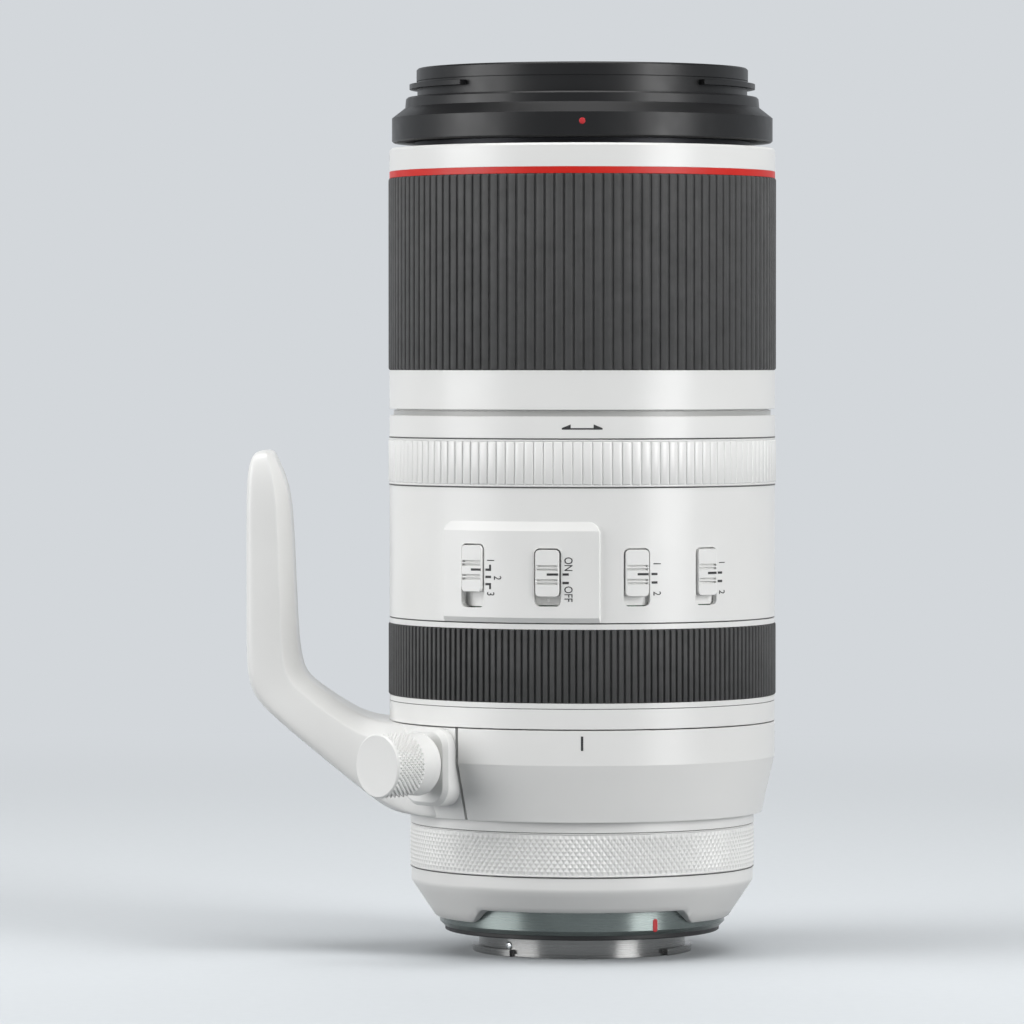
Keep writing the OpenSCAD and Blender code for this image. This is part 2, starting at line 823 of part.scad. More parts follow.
// White body of the zoom ring
module zoom_ring() {
  color("#e2e3e2")
    turned([[shell_in, scale_z], [body_r, scale_z], [body_r, grip_z], [grip_seat_r, grip_z],
      [grip_seat_r, front_band_z], [shell_in, front_band_z]]);
}

// Ribbed rubber of the zoom ring
module zoom_grip() {
  color("#454546")
    ribbed(grip_r, rib_depth, zoom_ribs, grip_seat_r + seat_gap, grip_z, red_z);
}

// Red ring in front of the rubber
module red_ring() {
  color("#c62b20")
    tube(body_r, grip_seat_r + seat_gap, red_z, front_band_z);
}

// White band at the front of the zoom ring, with the lip that holds the dust seal
module front_band() {
  lip_in = tube_r + run_gap + 1.8;
  lip_thick = 1.2;
  edge = 0.5;
  color("#e6e7e6")
    turned([[shell_in, front_band_z], [body_r, front_band_z], [body_r, front_band_top - edge],
      [body_r - edge, front_band_top], [lip_in, front_band_top], [lip_in, front_band_top - lip_thick],
      [shell_in, front_band_top - lip_thick]]);
}

// Barrel with helical slots that turns with the zoom ring
module cam_barrel() {
  color("#55575b")
    difference() {
      tube(cam_r, cam_in, cam_z, cam_top);
      for (a = carrier_places)
        cam_slot(a, carrier_roller_z, carrier_travel);
      for (a = front_places)
        cam_slot(a, front_roller_z, zoom_travel);
    }
}

// Keys that carry the zoom ring's turn to the cam barrel
module zoom_keys() {
  key_z = (grip_z + red_z) / 2;
  color("#c9a24a")
    for (a = carrier_places)
      sector(shell_in - seat_gap, cam_r + seat_gap, key_z - key_len / 2, key_z + key_len / 2,
        a - key_angle / 2, a + key_angle / 2);
}

// Felt ring that wipes the extending tube
module front_dust_seal() {
  lip_thick = 1.2;
  seal_thick = 1;
  seal_inset = 0.8;
  color("#1b1b1c")
    tube(shell_in - seal_inset, tube_r + run_gap, front_band_top - lip_thick - seal_thick,
      front_band_top - lip_thick);
}

// Extending tube
module front_tube() {
  color("#2a2b2d")
    difference() {
      tube(tube_r, tube_in, front_roller_z - carrier_half, nose_z + skirt_len - 1);
      for (a = front_places)
        around(a)
          spoke(roller_r + seat_gap, tube_in - 1, tube_r + 1, front_roller_z);
    }
}

// Black nose with the hood bayonet and the filter thread
module hood_mount() {
  tube_top = nose_z + skirt_len - 1;
  edge = 0.4;
  draft = 0.2;
  relief = 0.2;
  color("#1d1d1e")
    union() {
      turned([[tube_r + seat_gap, nose_z], [nose_r - edge, nose_z], [nose_r, nose_z + edge],
        [nose_r, nose_cone_z], [step_r + draft, nose_step_z], [step_r, neck_z - edge],
        [step_r - edge, neck_z], [lip_r - relief, neck_z], [lip_r - relief, lip_z], [lip_r, lip_z],
        [lip_r, front_z - edge], [lip_r - edge, front_z],
        [filter_r, front_z], [filter_r, thread_z], [cell_r + seat_gap, thread_z],
        [cell_r + seat_gap, tube_top], [tube_r + seat_gap, tube_top]]);
      for (a = hood_sides)
        sector(hood_r, lip_r - lip_wall / 2, hood_z, hood_z + hood_flange_len, a - hood_lug_angle / 2,
          a + hood_lug_angle / 2);
    }
}

// Holder of the front glasses
module front_cell() {
  ledge_in = cell_in - ledge_w;
  top = ledge_z + ledge_len - sag(back_curve, cell_in) + sag(back_curve, ledge_in) - seat_gap;
  low = ledge_z + sag(middle_curve, cell_in) - sag(middle_curve, ledge_in) + seat_gap;
  color("#1f2022")
    turned([[cell_in, cell_z], [cell_r, cell_z], [cell_r, thread_z], [cell_in, thread_z],
      [cell_in, top], [ledge_in, top], [ledge_in, low], [cell_in, low]]);
}

// Threaded ring that holds the front glass
module front_retainer() {
  inner = cell_in - retainer_w;
  low = front_edge_top + sag(front_curve, cell_in) - sag(front_curve, inner) + seat_gap;
  lip = 0.6;
  foot = 1.2;
  color("#1a1a1b")
    turned([[inner, low], [cell_in - seat_gap, low], [cell_in - seat_gap, thread_z - lip],
      [cell_in - lip, thread_z - lip], [inner, low + foot]]);
}

// Front glass
module front_element() {
  color("#8fa6b0", 0.5)
    glass(cell_in - seat_gap, ledge_z + ledge_len, front_edge_top, front_curve, back_curve);
}

// Second glass, cemented to the third
module middle_element() {
  color("#9fb4bc", 0.5)
    glass(cell_in - seat_gap, ledge_z - middle_edge, ledge_z, middle_curve, middle_curve);
}

// Third glass, hollow towards the second
module inner_element() {
  top = ledge_z - middle_edge - seat_gap;
  color("#9fb4bc", 0.5)
    glass(cell_in - seat_gap, top - inner_edge, top, -middle_curve, 400);
}

// Rollers of the extending tube
module front_rollers() {
  color("#c9a24a")
    for (a = front_places)
      around(a)
        spoke(roller_r, tube_in + seat_gap, cam_r, front_roller_z);
}

// Ring that carries the inner zoom glass
module zoom_carrier() {
  disc_z = carrier_roller_z - zoom_lens_edge / 2;
  rim_in = tube_in - 0.4;
  color("#2d2e31")
    difference() {
      union() {
        tube(tube_r, rim_in, carrier_roller_z - carrier_half, carrier_roller_z + carrier_half);
        tube(tube_in, zoom_lens_r + seat_gap, disc_z, disc_z + zoom_lens_edge);
      }
      for (a = carrier_places)
        around(a)
          spoke(roller_r + seat_gap, tube_in - roller_sink - seat_gap, tube_r + 1, carrier_roller_z);
    }
}

// Hollow glass of the zoom carrier
module zoom_lens() {
  disc_z = carrier_roller_z - zoom_lens_edge / 2;
  color("#9fb4bc", 0.5)
    glass(zoom_lens_r, disc_z, disc_z + zoom_lens_edge, -150, -150);
}

// Rollers of the zoom carrier
module carrier_rollers() {
  color("#c9a24a")
    for (a = carrier_places)
      around(a)
        spoke(roller_r, tube_in - roller_sink, cam_r, carrier_roller_z);
}

// Closed diaphragm unit on the zoom carrier, with its blades drawn back
module diaphragm_unit() {
  base_z = carrier_roller_z + carrier_half;
  housing_r = tube_in - 0.2;
  housing_len = 4;
  opening_r = 24;
  drive_w = 7;
  drive_rise = 2;
  sink = 0.5;
  color("#232426")
    union() {
      tube(housing_r, opening_r, base_z, base_z + housing_len);
      sector(housing_r - 1, housing_r - 1 - drive_w, base_z + housing_len - sink,
        base_z + housing_len + drive_rise, 60, 110);
    }
}

// Ribbed white ring that sets the stiffness of the zoom
module tension_ring() {
  rim = 1;
  low = tension_z + seam;
  high = label_z - seam;
  color("#e2e3e2")
    union() {
      ribbed(grip_r, rib_depth, tension_ribs, shell_in, low + rim, high - rim);
      tube(body_r - 0.1, shell_in, low, low + rim);
      tube(body_r - 0.1, shell_in, high - rim, high);
    }
}

// Brake pads that the tension ring carries through the spigot's windows
module brake_shoes() {
  pad_gap = 0.5;
  color("#6d5a45")
    for (a = shoe_places)
      sector(shell_in - seat_gap, cam_r + run_gap, tension_z + 2 + pad_gap, label_z - 2 - pad_gap,
        a - shoe_angle / 2, a + shoe_angle / 2);
}

// White body of the focus ring
module focus_ring() {
  low = focus_z + seam / 2;
  high = switch_z - seam / 2;
  color("#e2e3e2")
    turned([[shell_in, low], [body_r, low], [body_r, low + focus_rim], [grip_seat_r, low + focus_rim],
      [grip_seat_r, high - focus_rim], [body_r, high - focus_rim], [body_r, high], [shell_in, high]]);
}

// Ribbed rubber of the focus ring
module focus_grip() {
  low = focus_z + seam / 2 + focus_rim;
  high = switch_z - seam / 2 - focus_rim;
  color("#454546")
    ribbed(grip_r, rib_depth, focus_ribs, grip_seat_r + seat_gap, low, high);
}

// Control ring with the click notches in its bore
module control_ring() {
  low = control_z + seam / 2;
  high = strip_z - seam / 2;
  clicks = 36;
  notch_r = 0.6;
  color("#e0e1e0")
    difference() {
      tube(control_r, control_in, low, high);
      for (i = [0:clicks - 1])
        around(90 + i * 360 / clicks)
          translate([control_in - 0.2, 0, low - 1])
            cylinder(r = notch_r, h = high - low + 2, $fn = 24);
    }
}

// Outline of the tripod collar's outside, grown by a clearance
module collar_body(extra) {
  turned([[0, collar_z], [collar_low_r + extra, collar_z], [collar_r + extra, collar_z + collar_taper_len],
    [collar_r + extra, collar_top], [0, collar_top]]);
}

// Outline of the clamp lug, drawn in by an inset, at the angle given by around()
module lug_outline(inset, from, to) {
  translate([from, 0, 0])
    rotate([0, 90, 0])
      linear_extrude(height = to - from)
        rounded([inset - collar_top, lug_edge - clamp_lug_w + inset], [-lug_low - inset, lug_edge - inset],
          lug_corner - inset);
}

// Split ring that turns on the rear barrel, with the lug of the clamp screw beside the slit
module tripod_collar() {
  skin = 0.1;
  color("#dedfde")
    difference() {
      union() {
        collar_body(0);
        around(knob_angle) {
          lug_outline(0, rear_r, clamp_lug_reach - lug_round);
          hull() {
            lug_outline(0, clamp_lug_reach - lug_round - skin, clamp_lug_reach - lug_round);
            lug_outline(lug_round, clamp_lug_reach - skin, clamp_lug_reach);
          }
        }
      }
      translate([0, 0, collar_z - 1])
        cylinder(r = collar_bore, h = collar_len + 2);
      around(knob_angle) {
        translate([rear_r - slit_w, lug_edge, collar_z - 1])
          cube([collar_r - rear_r + slit_w, slit_w, collar_len + 2]);
        spoke(screw_r + shaft_gap, rear_r - 1, clamp_lug_reach + 1, knob_z);
      }
    }
}

// A bar across the foot with softened ends
module foot_bar(x, z, r, w) {
  for (k = [[0, 2], [0.3, 0.6], [1, 0]])
    translate([x, 0, z])
      rotate([90, 0, 0])
        cylinder(r = r - bar_edge * k[0], h = w - bar_edge * k[1], center = true, $fn = 32);
}

// Foot and arm of the collar, drawn through rounded bars
module tripod_foot() {
  tip = [-sole_reach + tip_r, sole_top - tip_r];
  mid_r = tip_r + 0.7;
  mid = [-sole_reach + mid_r, sole_top - 11];
  heel = [-sole_reach + heel_r, sole_low + heel_r];
  elbow_x = -collar_r - elbow_out;
  low_x = -collar_r - root_out;
  root_x = -collar_r + root_sink;
  arm_w = foot_root_w - root_trim;
  trim = 5;
  color("#e2e3e2")
    difference() {
      union() {
        hull() {
          foot_bar(tip[0], tip[1], tip_r, foot_w);
          foot_bar(mid[0], mid[1], mid_r, foot_w);
        }
        hull() {
          foot_bar(mid[0], mid[1], mid_r, foot_w);
          foot_bar(heel[0], heel[1], heel_r, foot_w);
        }
        hull() {
          foot_bar(heel[0], heel[1], heel_r, foot_w);
          foot_bar(elbow_x, root_top_z, root_r, arm_w);
          foot_bar(low_x, root_low_z, root_r, arm_w);
        }
        hull() {
          foot_bar(elbow_x, root_top_z, root_r, arm_w);
          foot_bar(root_x, root_top_z, root_r, foot_root_w);
          foot_bar(root_x, root_low_z, root_r, foot_root_w);
          foot_bar(low_x, root_low_z, root_r, arm_w);
        }
      }
      collar_body(seat_gap);
      translate([0, 0, collar_z - trim])
        cylinder(r = collar_low_r, h = 2 * trim);
      translate([-sole_reach - 1, 0, thread_height])
        rotate([0, 90, 0])
          cylinder(r = tripod_thread_r + bush_wall + seat_gap, h = bush_len + 1);
    }
}

// Threaded bush in the sole
module foot_bush() {
  color("#b9bcbd")
    translate([-sole_reach, 0, thread_height])
      rotate([0, 90, 0])
        difference() {
          cylinder(r = tripod_thread_r + bush_wall, h = bush_len);
          translate([0, 0, -1])
            cylinder(r = tripod_thread_r, h = bush_len + 2);
        }
}

// Clamp knob
module clamp_knob() {
  edge = 0.5;
  back = 2.4;
  neck_r = screw_r + neck_wall;
  face = knob_neck + knob_len;
  start = clamp_lug_reach + run_gap;
  color("#dcdddc")
    around(knob_angle)
      translate([start, 0, knob_z])
        rotate([0, 90, 0])
          turned([[screw_r + seat_gap, 0], [neck_r, 0], [neck_r, knob_neck], [knob_r - back, knob_neck],
            [knob_r, knob_neck + back], [knob_r, face - edge], [knob_r - edge, face], [0, face],
            [0, face - knob_cap], [screw_r + seat_gap, face - knob_cap]]);
}

// Screw that presses on the barrel
module clamp_screw() {
  tail = clamp_lug_reach + run_gap + knob_neck + knob_len - knob_cap;
  color("#b9bcbd")
    around(knob_angle)
      spoke(screw_r, collar_bore, tail, knob_z);
}

// Switch of the stabiliser's mode
module mode_switch() {
  switch_knob(mode_angle, long_travel, long_rest_z);
}

// Switch of the stabiliser
module stabiliser_switch() {
  switch_knob(stabiliser_angle, short_travel, short_rest_z);
}

// Switch between automatic and manual focus
module focus_mode_switch() {
  switch_knob(focus_mode_angle, short_travel, short_rest_z);
}

// Switch of the focus range
module range_switch() {
  switch_knob(range_angle, short_travel, short_rest_z);
}

// Carriage of the focus glass, running on the rods
module focus_carriage() {
  boss_r = 3.4;
  color("#34363a")
    difference() {
      union() {
        tube(carriage_r, focus_lens_r + seat_gap, carriage_z, carriage_z + carriage_len);
        for (a = rod_places)
          around(a)
            translate([rod_reach, 0, carriage_z])
              cylinder(r = boss_r, h = carriage_len);
        for (a = rod_places)
          around(a)
            translate([focus_lens_r + 2, -2, carriage_z])
              cube([rod_reach - focus_lens_r - 2, 4, carriage_len]);
        around(90)
          translate([focus_lens_r + 2, -3, carriage_z + 1])
            cube([motor_in - run_gap - focus_lens_r - 2, 6, carriage_len - 2]);
      }
      for (a = rod_places)
        around(a)
          translate([rod_reach, 0, carriage_z - 1])
            cylinder(r = rod_r + shaft_gap, h = carriage_len + 2);
    }
}

// Glass of the focus carriage
module focus_lens() {
  color("#9fb4bc", 0.5)
    glass(focus_lens_r, carriage_z + 1, carriage_z + carriage_len - 1, -100, -140);
}

mount_bayonet();
mount_seal();
contact_block();
contact_pins();
rear_baffle();
rear_cell();
rear_element();
rear_cover();
rear_barrel();
control_detent();
main_circuit_board();
focus_rods();
focus_motor();
rod_plate();
stabiliser_unit();
stabiliser_lens();
guide_barrel();
switch_housing();
switch_board();
label_band();
zoom_ring();
zoom_grip();
red_ring();
front_band();
cam_barrel();
zoom_keys();
front_dust_seal();
front_tube();
hood_mount();
front_cell();
front_retainer();
front_element();
middle_element();
inner_element();
front_rollers();
zoom_carrier();
zoom_lens();
carrier_rollers();
diaphragm_unit();
tension_ring();
brake_shoes();
focus_ring();
focus_grip();
control_ring();
tripod_collar();
tripod_foot();
foot_bush();
clamp_knob();
clamp_screw();
mode_switch();
stabiliser_switch();
focus_mode_switch();
range_switch();
focus_carriage();
focus_lens();
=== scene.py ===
import json
import math

import bmesh
import bpy
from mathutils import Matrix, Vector


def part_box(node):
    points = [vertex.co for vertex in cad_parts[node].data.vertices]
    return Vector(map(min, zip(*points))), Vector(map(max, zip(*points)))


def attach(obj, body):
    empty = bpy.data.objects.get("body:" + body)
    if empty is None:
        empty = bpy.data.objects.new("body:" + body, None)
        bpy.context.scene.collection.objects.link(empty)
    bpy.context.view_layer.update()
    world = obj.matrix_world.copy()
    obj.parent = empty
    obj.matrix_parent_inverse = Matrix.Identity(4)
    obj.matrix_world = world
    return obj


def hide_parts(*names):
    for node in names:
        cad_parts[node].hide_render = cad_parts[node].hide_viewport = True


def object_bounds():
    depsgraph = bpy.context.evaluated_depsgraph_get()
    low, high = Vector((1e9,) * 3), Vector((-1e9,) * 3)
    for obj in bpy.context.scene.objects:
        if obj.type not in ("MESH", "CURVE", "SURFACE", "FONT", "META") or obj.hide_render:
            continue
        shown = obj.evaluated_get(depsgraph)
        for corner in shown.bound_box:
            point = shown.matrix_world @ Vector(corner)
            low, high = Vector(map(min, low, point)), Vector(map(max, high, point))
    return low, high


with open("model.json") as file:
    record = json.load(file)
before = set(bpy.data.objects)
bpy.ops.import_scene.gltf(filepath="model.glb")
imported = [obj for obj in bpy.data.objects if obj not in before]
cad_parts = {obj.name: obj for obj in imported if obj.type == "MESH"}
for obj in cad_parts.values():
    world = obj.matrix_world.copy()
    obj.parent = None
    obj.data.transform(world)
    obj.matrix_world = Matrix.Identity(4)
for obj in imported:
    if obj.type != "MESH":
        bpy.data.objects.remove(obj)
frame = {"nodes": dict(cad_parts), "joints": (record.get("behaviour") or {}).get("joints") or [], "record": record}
cadLow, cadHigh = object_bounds()
print("frame:", len(frame["nodes"]), "nodes")

mm = 0.001  # the frame is in metres, the dictionaries below are in millimetres
weldGap = 1e-8  # metres; points closer than this are one
noiseSpan = (0.3, 0.7)  # nearly all values of a noise texture lie between these

# Camera, in metres, level with the zoom ring and aimed a little down
cameraSetup = {"place": (0.0, -1.524, 0.1365), "aim": (-0.0170, 0.0, 0.1001), "lens": 221.1, "sensor": 36.0}

cameraData = bpy.data.cameras.new("camera")
cameraData.lens = cameraSetup["lens"]
cameraData.sensor_width = cameraSetup["sensor"]
camera = bpy.data.objects.new("camera", cameraData)
camera.location = cameraSetup["place"]
lookAlong = Vector(cameraSetup["aim"]) - Vector(cameraSetup["place"])
camera.rotation_euler = lookAlong.to_track_quat("-Z", "Y").to_euler()
bpy.context.scene.collection.objects.link(camera)
bpy.context.scene.camera = camera
bpy.context.scene.view_settings.view_transform = "Standard"
print("camera: ready")


# Small helpers for shading

def linear(hexCode):
    # sRGB hex to linear RGBA
    parts = [int(hexCode[i:i + 2], 16) / 255 for i in (1, 3, 5)]
    return tuple(c / 12.92 if c <= 0.04045 else ((c + 0.055) / 1.055) ** 2.4 for c in parts) + (1.0,)


def perMm(size):
    # texture scale that gives features of this size in millimetres on metre coordinates
    return 1 / (size * mm)


def addNode(tree, kind, settings=None, links=None):
    node = tree.nodes.new(kind)
    for key, value in (settings or {}).items():
        if isinstance(key, int) or key in node.inputs:
            node.inputs[key].default_value = value
        else:
            setattr(node, key, value)
    for key, source in (links or {}).items():
        tree.links.new(source, node.inputs[key])
    return node


def startMaterial(name, sockets):
    material = bpy.data.materials.new(name)
    material.use_nodes = True
    tree = material.node_tree
    tree.nodes.clear()
    shader = addNode(tree, "ShaderNodeBsdfPrincipled", sockets)
    addNode(tree, "ShaderNodeOutputMaterial", links={"Surface": shader.outputs["BSDF"]})
    spot = addNode(tree, "ShaderNodeTexCoord")
    return material, tree, shader, spot.outputs["Object"]


def tintBetween(tree, shader, where, dark, light, size):
    # slow drift between two close tones, as in any real batch of paint or plastic
    drift = addNode(tree, "ShaderNodeTexNoise", {"Scale": perMm(size), "Detail": 3.0}, {"Vector": where})
    ramp = addNode(tree, "ShaderNodeValToRGB", links={"Fac": drift.outputs["Fac"]})
    for stop, position, tone in zip(ramp.color_ramp.elements, noiseSpan, (dark, light)):
        stop.position = position
        stop.color = linear(tone)
    tree.links.new(ramp.outputs["Color"], shader.inputs["Base Color"])


def roughBetween(tree, shader, where, low, high, size):
    patches = addNode(tree, "ShaderNodeTexNoise", {"Scale": perMm(size), "Detail": 2.0}, {"Vector": where})
    span = addNode(tree, "ShaderNodeMapRange", {"From Min": noiseSpan[0], "From Max": noiseSpan[1],
                                                "To Min": low, "To Max": high}, {"Value": patches.outputs["Fac"]})
    tree.links.new(span.outputs["Result"], shader.inputs["Roughness"])


def grain(tree, shader, where, size, depth, strength, detail=2.0, edge=0.2):
    # fine relief, on edges that are rounded by a fraction of a millimetre
    pits = addNode(tree, "ShaderNodeTexNoise", {"Scale": perMm(size), "Detail": detail}, {"Vector": where})
    rounding = addNode(tree, "ShaderNodeBevel", {"samples": 6, "Radius": edge * mm})
    relief = addNode(tree, "ShaderNodeBump", {"Strength": strength, "Distance": depth * mm},
                     {"Height": pits.outputs["Fac"], "Normal": rounding.outputs["Normal"]})
    tree.links.new(relief.outputs["Normal"], shader.inputs["Normal"])


# Baked satin enamel on alloy: soft wide highlights, a faint orange peel
def bakedEnamel(name, dark, light):
    material, tree, shader, where = startMaterial(name, {"IOR": 1.5, "Coat Weight": 0.12, "Coat Roughness": 0.3})
    tintBetween(tree, shader, where, dark, light, size=35)
    roughBetween(tree, shader, where, low=0.31, high=0.38, size=9)
    grain(tree, shader, where, size=0.8, depth=0.006, strength=0.35)
    return material


# Moulded white ABS of the switch knobs: a touch brighter and finer than the enamel
def mouldedAbs():
    material, tree, shader, where = startMaterial("mouldedWhiteAbs", {"IOR": 1.53})
    tintBetween(tree, shader, where, "#e6e6e4", "#ebebe9", size=8)
    roughBetween(tree, shader, where, low=0.34, high=0.42, size=3)
    grain(tree, shader, where, size=0.3, depth=0.004, strength=0.4)
    return material


# Moulded nitrile rubber: dull grey-black, fine spark-eroded tooth, drawn at 0.35 mm so that it shows
def mouldedRubber():
    material, tree, shader, where = startMaterial("mouldedNitrileRubber", {"IOR": 1.52, "Specular IOR Level": 0.35,
                                                                          "Sheen Weight": 0.12,
                                                                          "Sheen Roughness": 0.5})
    tintBetween(tree, shader, where, "#3a3a3a", "#434343", size=6)
    roughBetween(tree, shader, where, low=0.62, high=0.74, size=2)
    grain(tree, shader, where, size=0.35, depth=0.02, strength=0.5, detail=4.0)
    return material


# Extruded silicone lip: smooth black with a soft sheen
def siliconeLip():
    material, tree, shader, where = startMaterial("extrudedSiliconeLip", {"IOR": 1.43})
    tintBetween(tree, shader, where, "#131314", "#1a1a1b", size=5)
    roughBetween(tree, shader, where, low=0.42, high=0.55, size=4)
    grain(tree, shader, where, size=0.5, depth=0.006, strength=0.3)
    return material


# Stoved red enamel: strong satin red over a turned ring
def stovedRed():
    material, tree, shader, where = startMaterial("stovedRedEnamel", {"IOR": 1.5, "Specular IOR Level": 0.35})
    tintBetween(tree, shader, where, "#c41d14", "#cf2418", size=12)
    roughBetween(tree, shader, where, low=0.4, high=0.48, size=5)
    grain(tree, shader, where, size=0.9, depth=0.004, strength=0.25)
    return material


# Spark-eroded polycarbonate of the nose: satin black with broad grey highlights
def satinPolycarbonate():
    material, tree, shader, where = startMaterial("satinBlackPolycarbonate", {"IOR": 1.5, "Specular IOR Level": 0.28})
    tintBetween(tree, shader, where, "#131314", "#181819", size=14)
    roughBetween(tree, shader, where, low=0.33, high=0.41, size=6)
    grain(tree, shader, where, size=0.28, depth=0.008, strength=0.45, detail=3.0)
    return material


# Matt black moulded plastic of the inner mouldings: even, dull black that swallows stray light
def mattPlastic():
    material, tree, shader, where = startMaterial("mattBlackMoulding", {"IOR": 1.5})
    tintBetween(tree, shader, where, "#151516", "#1c1c1d", size=10)
    roughBetween(tree, shader, where, low=0.6, high=0.75, size=4)
    grain(tree, shader, where, size=0.3, depth=0.012, strength=0.5, detail=3.0)
    return material


def latheLines(tree, where, long, fine, detail):
    # noise stretched round the axis: long patches, a fine pitch along it, both in millimetres
    lines = addNode(tree, "ShaderNodeMapping", {"Scale": (perMm(long), perMm(long), perMm(fine))}, {"Vector": where})
    tool = addNode(tree, "ShaderNodeTexNoise", {"Scale": 1.0, "Detail": detail}, {"Vector": lines.outputs["Vector"]})
    return tool.outputs["Fac"]


# Black anodised turned aluminium: dark metal with fine tool lines round the axis
def anodisedAluminium():
    material, tree, shader, where = startMaterial("blackAnodisedAluminium", {"Metallic": 0.7})
    tintBetween(tree, shader, where, "#232427", "#2b2c30", size=20)
    tool = latheLines(tree, where, long=25, fine=0.18, detail=2.0)
    span = addNode(tree, "ShaderNodeMapRange", {"To Min": 0.36, "To Max": 0.52}, {"Value": tool})
    relief = addNode(tree, "ShaderNodeBump", {"Strength": 0.25, "Distance": 0.006 * mm}, {"Height": tool})
    tree.links.new(span.outputs["Result"], shader.inputs["Roughness"])
    tree.links.new(relief.outputs["Normal"], shader.inputs["Normal"])
    return material


# Painted reflection: the bayonet tube, which lies behind the flange face, gets a neutral tone lighter than the flange's
# steel, which stands in for its brighter reflections
tubeReflectionTone = {"tone": "#868685", "below": -0.05}


# Turned satin steel of the mount: greenish grey, lathe lines round the axis, stretched vertical highlights
def turnedSteel(name, dark, light, low, high, tube=None):
    material, tree, shader, where = startMaterial(name, {"Metallic": 1.0, "Anisotropic": 0.75,
                                                         "Anisotropic Rotation": 0.25})
    tintBetween(tree, shader, where, dark, light, size=16)
    # below the flange face the same steel turns lighter and neutral: painted reflection
    if tube:
        height = addNode(tree, "ShaderNodeSeparateXYZ", links={"Vector": where})
        behind = addNode(tree, "ShaderNodeMath", {"operation": "LESS_THAN", 1: tube["below"] * mm},
                         {0: height.outputs["Z"]})
        flange = shader.inputs["Base Color"].links[0].from_socket
        tint = addNode(tree, "ShaderNodeMix", {"data_type": "RGBA", 7: linear(tube["tone"])},
                       {0: behind.outputs["Value"], 6: flange})
        tree.links.new(tint.outputs[2], shader.inputs["Base Color"])
    tool = latheLines(tree, where, long=30, fine=0.14, detail=3.0)
    span = addNode(tree, "ShaderNodeMapRange", {"From Min": noiseSpan[0], "From Max": noiseSpan[1],
                                                "To Min": low, "To Max": high}, {"Value": tool})
    rounding = addNode(tree, "ShaderNodeBevel", {"samples": 6, "Radius": 0.15 * mm})
    relief = addNode(tree, "ShaderNodeBump", {"Strength": 0.2, "Distance": 0.004 * mm},
                     {"Height": tool, "Normal": rounding.outputs["Normal"]})
    around = addNode(tree, "ShaderNodeTangent", {"direction_type": "RADIAL", "axis": "Z"})
    tree.links.new(span.outputs["Result"], shader.inputs["Roughness"])
    tree.links.new(relief.outputs["Normal"], shader.inputs["Normal"])
    tree.links.new(around.outputs["Tangent"], shader.inputs["Tangent"])
    return material


# Gilt turned brass of rollers, keys and contacts: small warm glints
def giltBrass():
    material, tree, shader, where = startMaterial("giltTurnedBrass", {"Metallic": 1.0})
    tintBetween(tree, shader, where, "#c29a44", "#d2ad58", size=3)
    roughBetween(tree, shader, where, low=0.2, high=0.32, size=1)
    grain(tree, shader, where, size=0.25, depth=0.004, strength=0.3)
    return material


# Flocked felt of the seals and brake pads, and of the rings of painted shade in the seams: no gloss, a short fuzz
def flockedFelt():
    material, tree, shader, where = startMaterial("flockedFelt", {"Sheen Weight": 0.5, "Sheen Roughness": 0.6,
                                                                 "Specular IOR Level": 0.1})
    tintBetween(tree, shader, where, "#121213", "#1d1c1c", size=0.8)
    roughBetween(tree, shader, where, low=0.88, high=0.98, size=1)
    grain(tree, shader, where, size=0.18, depth=0.05, strength=0.8, detail=5.0)
    return material


# Green solder resist over copper tracks about 1.4 mm apart: glossy dark green with paler lines
def solderResist():
    material, tree, shader, where = startMaterial("solderResistBoard", {"IOR": 1.55})
    cells = addNode(tree, "ShaderNodeTexVoronoi", {"feature": "DISTANCE_TO_EDGE", "Scale": perMm(1.4)},
                    {"Vector": where})
    edge = addNode(tree, "ShaderNodeValToRGB", links={"Fac": cells.outputs["Distance"]})
    for stop, position, tone in zip(edge.color_ramp.elements, (0.05, 0.12), ("#3f8a5a", "#1f5a38")):
        stop.position = position
        stop.color = linear(tone)
    tree.links.new(edge.outputs["Color"], shader.inputs["Base Color"])
    roughBetween(tree, shader, where, low=0.3, high=0.42, size=3)
    return material


# Polished and coated optical glass: clear body, faint coloured film on the surface, traces of wiping
def coatedGlass():
    material, tree, shader, where = startMaterial("coatedOpticalGlass", {"Base Color": linear("#f2f7f5"), "IOR": 1.52,
                                                                        "Transmission Weight": 1.0,
                                                                        "Thin Film Thickness": 420.0,
                                                                        "Thin Film IOR": 1.38})
    roughBetween(tree, shader, where, low=0.0, high=0.02, size=18)
    return material


# Screen-printed ink: flat, dull, slightly uneven
def printedInk(name, dark, light):
    material, tree, shader, where = startMaterial(name, {"IOR": 1.48})
    tintBetween(tree, shader, where, dark, light, size=0.8)
    roughBetween(tree, shader, where, low=0.5, high=0.62, size=0.6)
    grain(tree, shader, where, size=0.2, depth=0.004, strength=0.3)
    return material


finishes = {
    "white_paint": bakedEnamel("bakedSatinEnamel", "#e3e3e1", "#e8e8e6"),
    "white_plastic": mouldedAbs(),
    "grip_rubber": mouldedRubber(),
    "seal_rubber": siliconeLip(),
    "red_enamel": stovedRed(),
    "black_nose": satinPolycarbonate(),
    "black_plastic": mattPlastic(),
    "black_aluminium": anodisedAluminium(),
    "black_felt": flockedFelt(),
    "mount_steel": turnedSteel("turnedSatinSteel", "#676e6c", "#777e7c", low=0.25, high=0.32, tube=tubeReflectionTone),
    "polished_steel": turnedSteel("groundSteel", "#b7babb", "#c6c8c9", low=0.18, high=0.28),
    "gilt_brass": giltBrass(),
    "circuit_board": solderResist(),
    "optical_glass": coatedGlass(),
}
darkInk = printedInk("screenPrintedInk", "#232324", "#2d2d2e")
redInk = printedInk("redFillPaint", "#b01f26", "#be2a30")

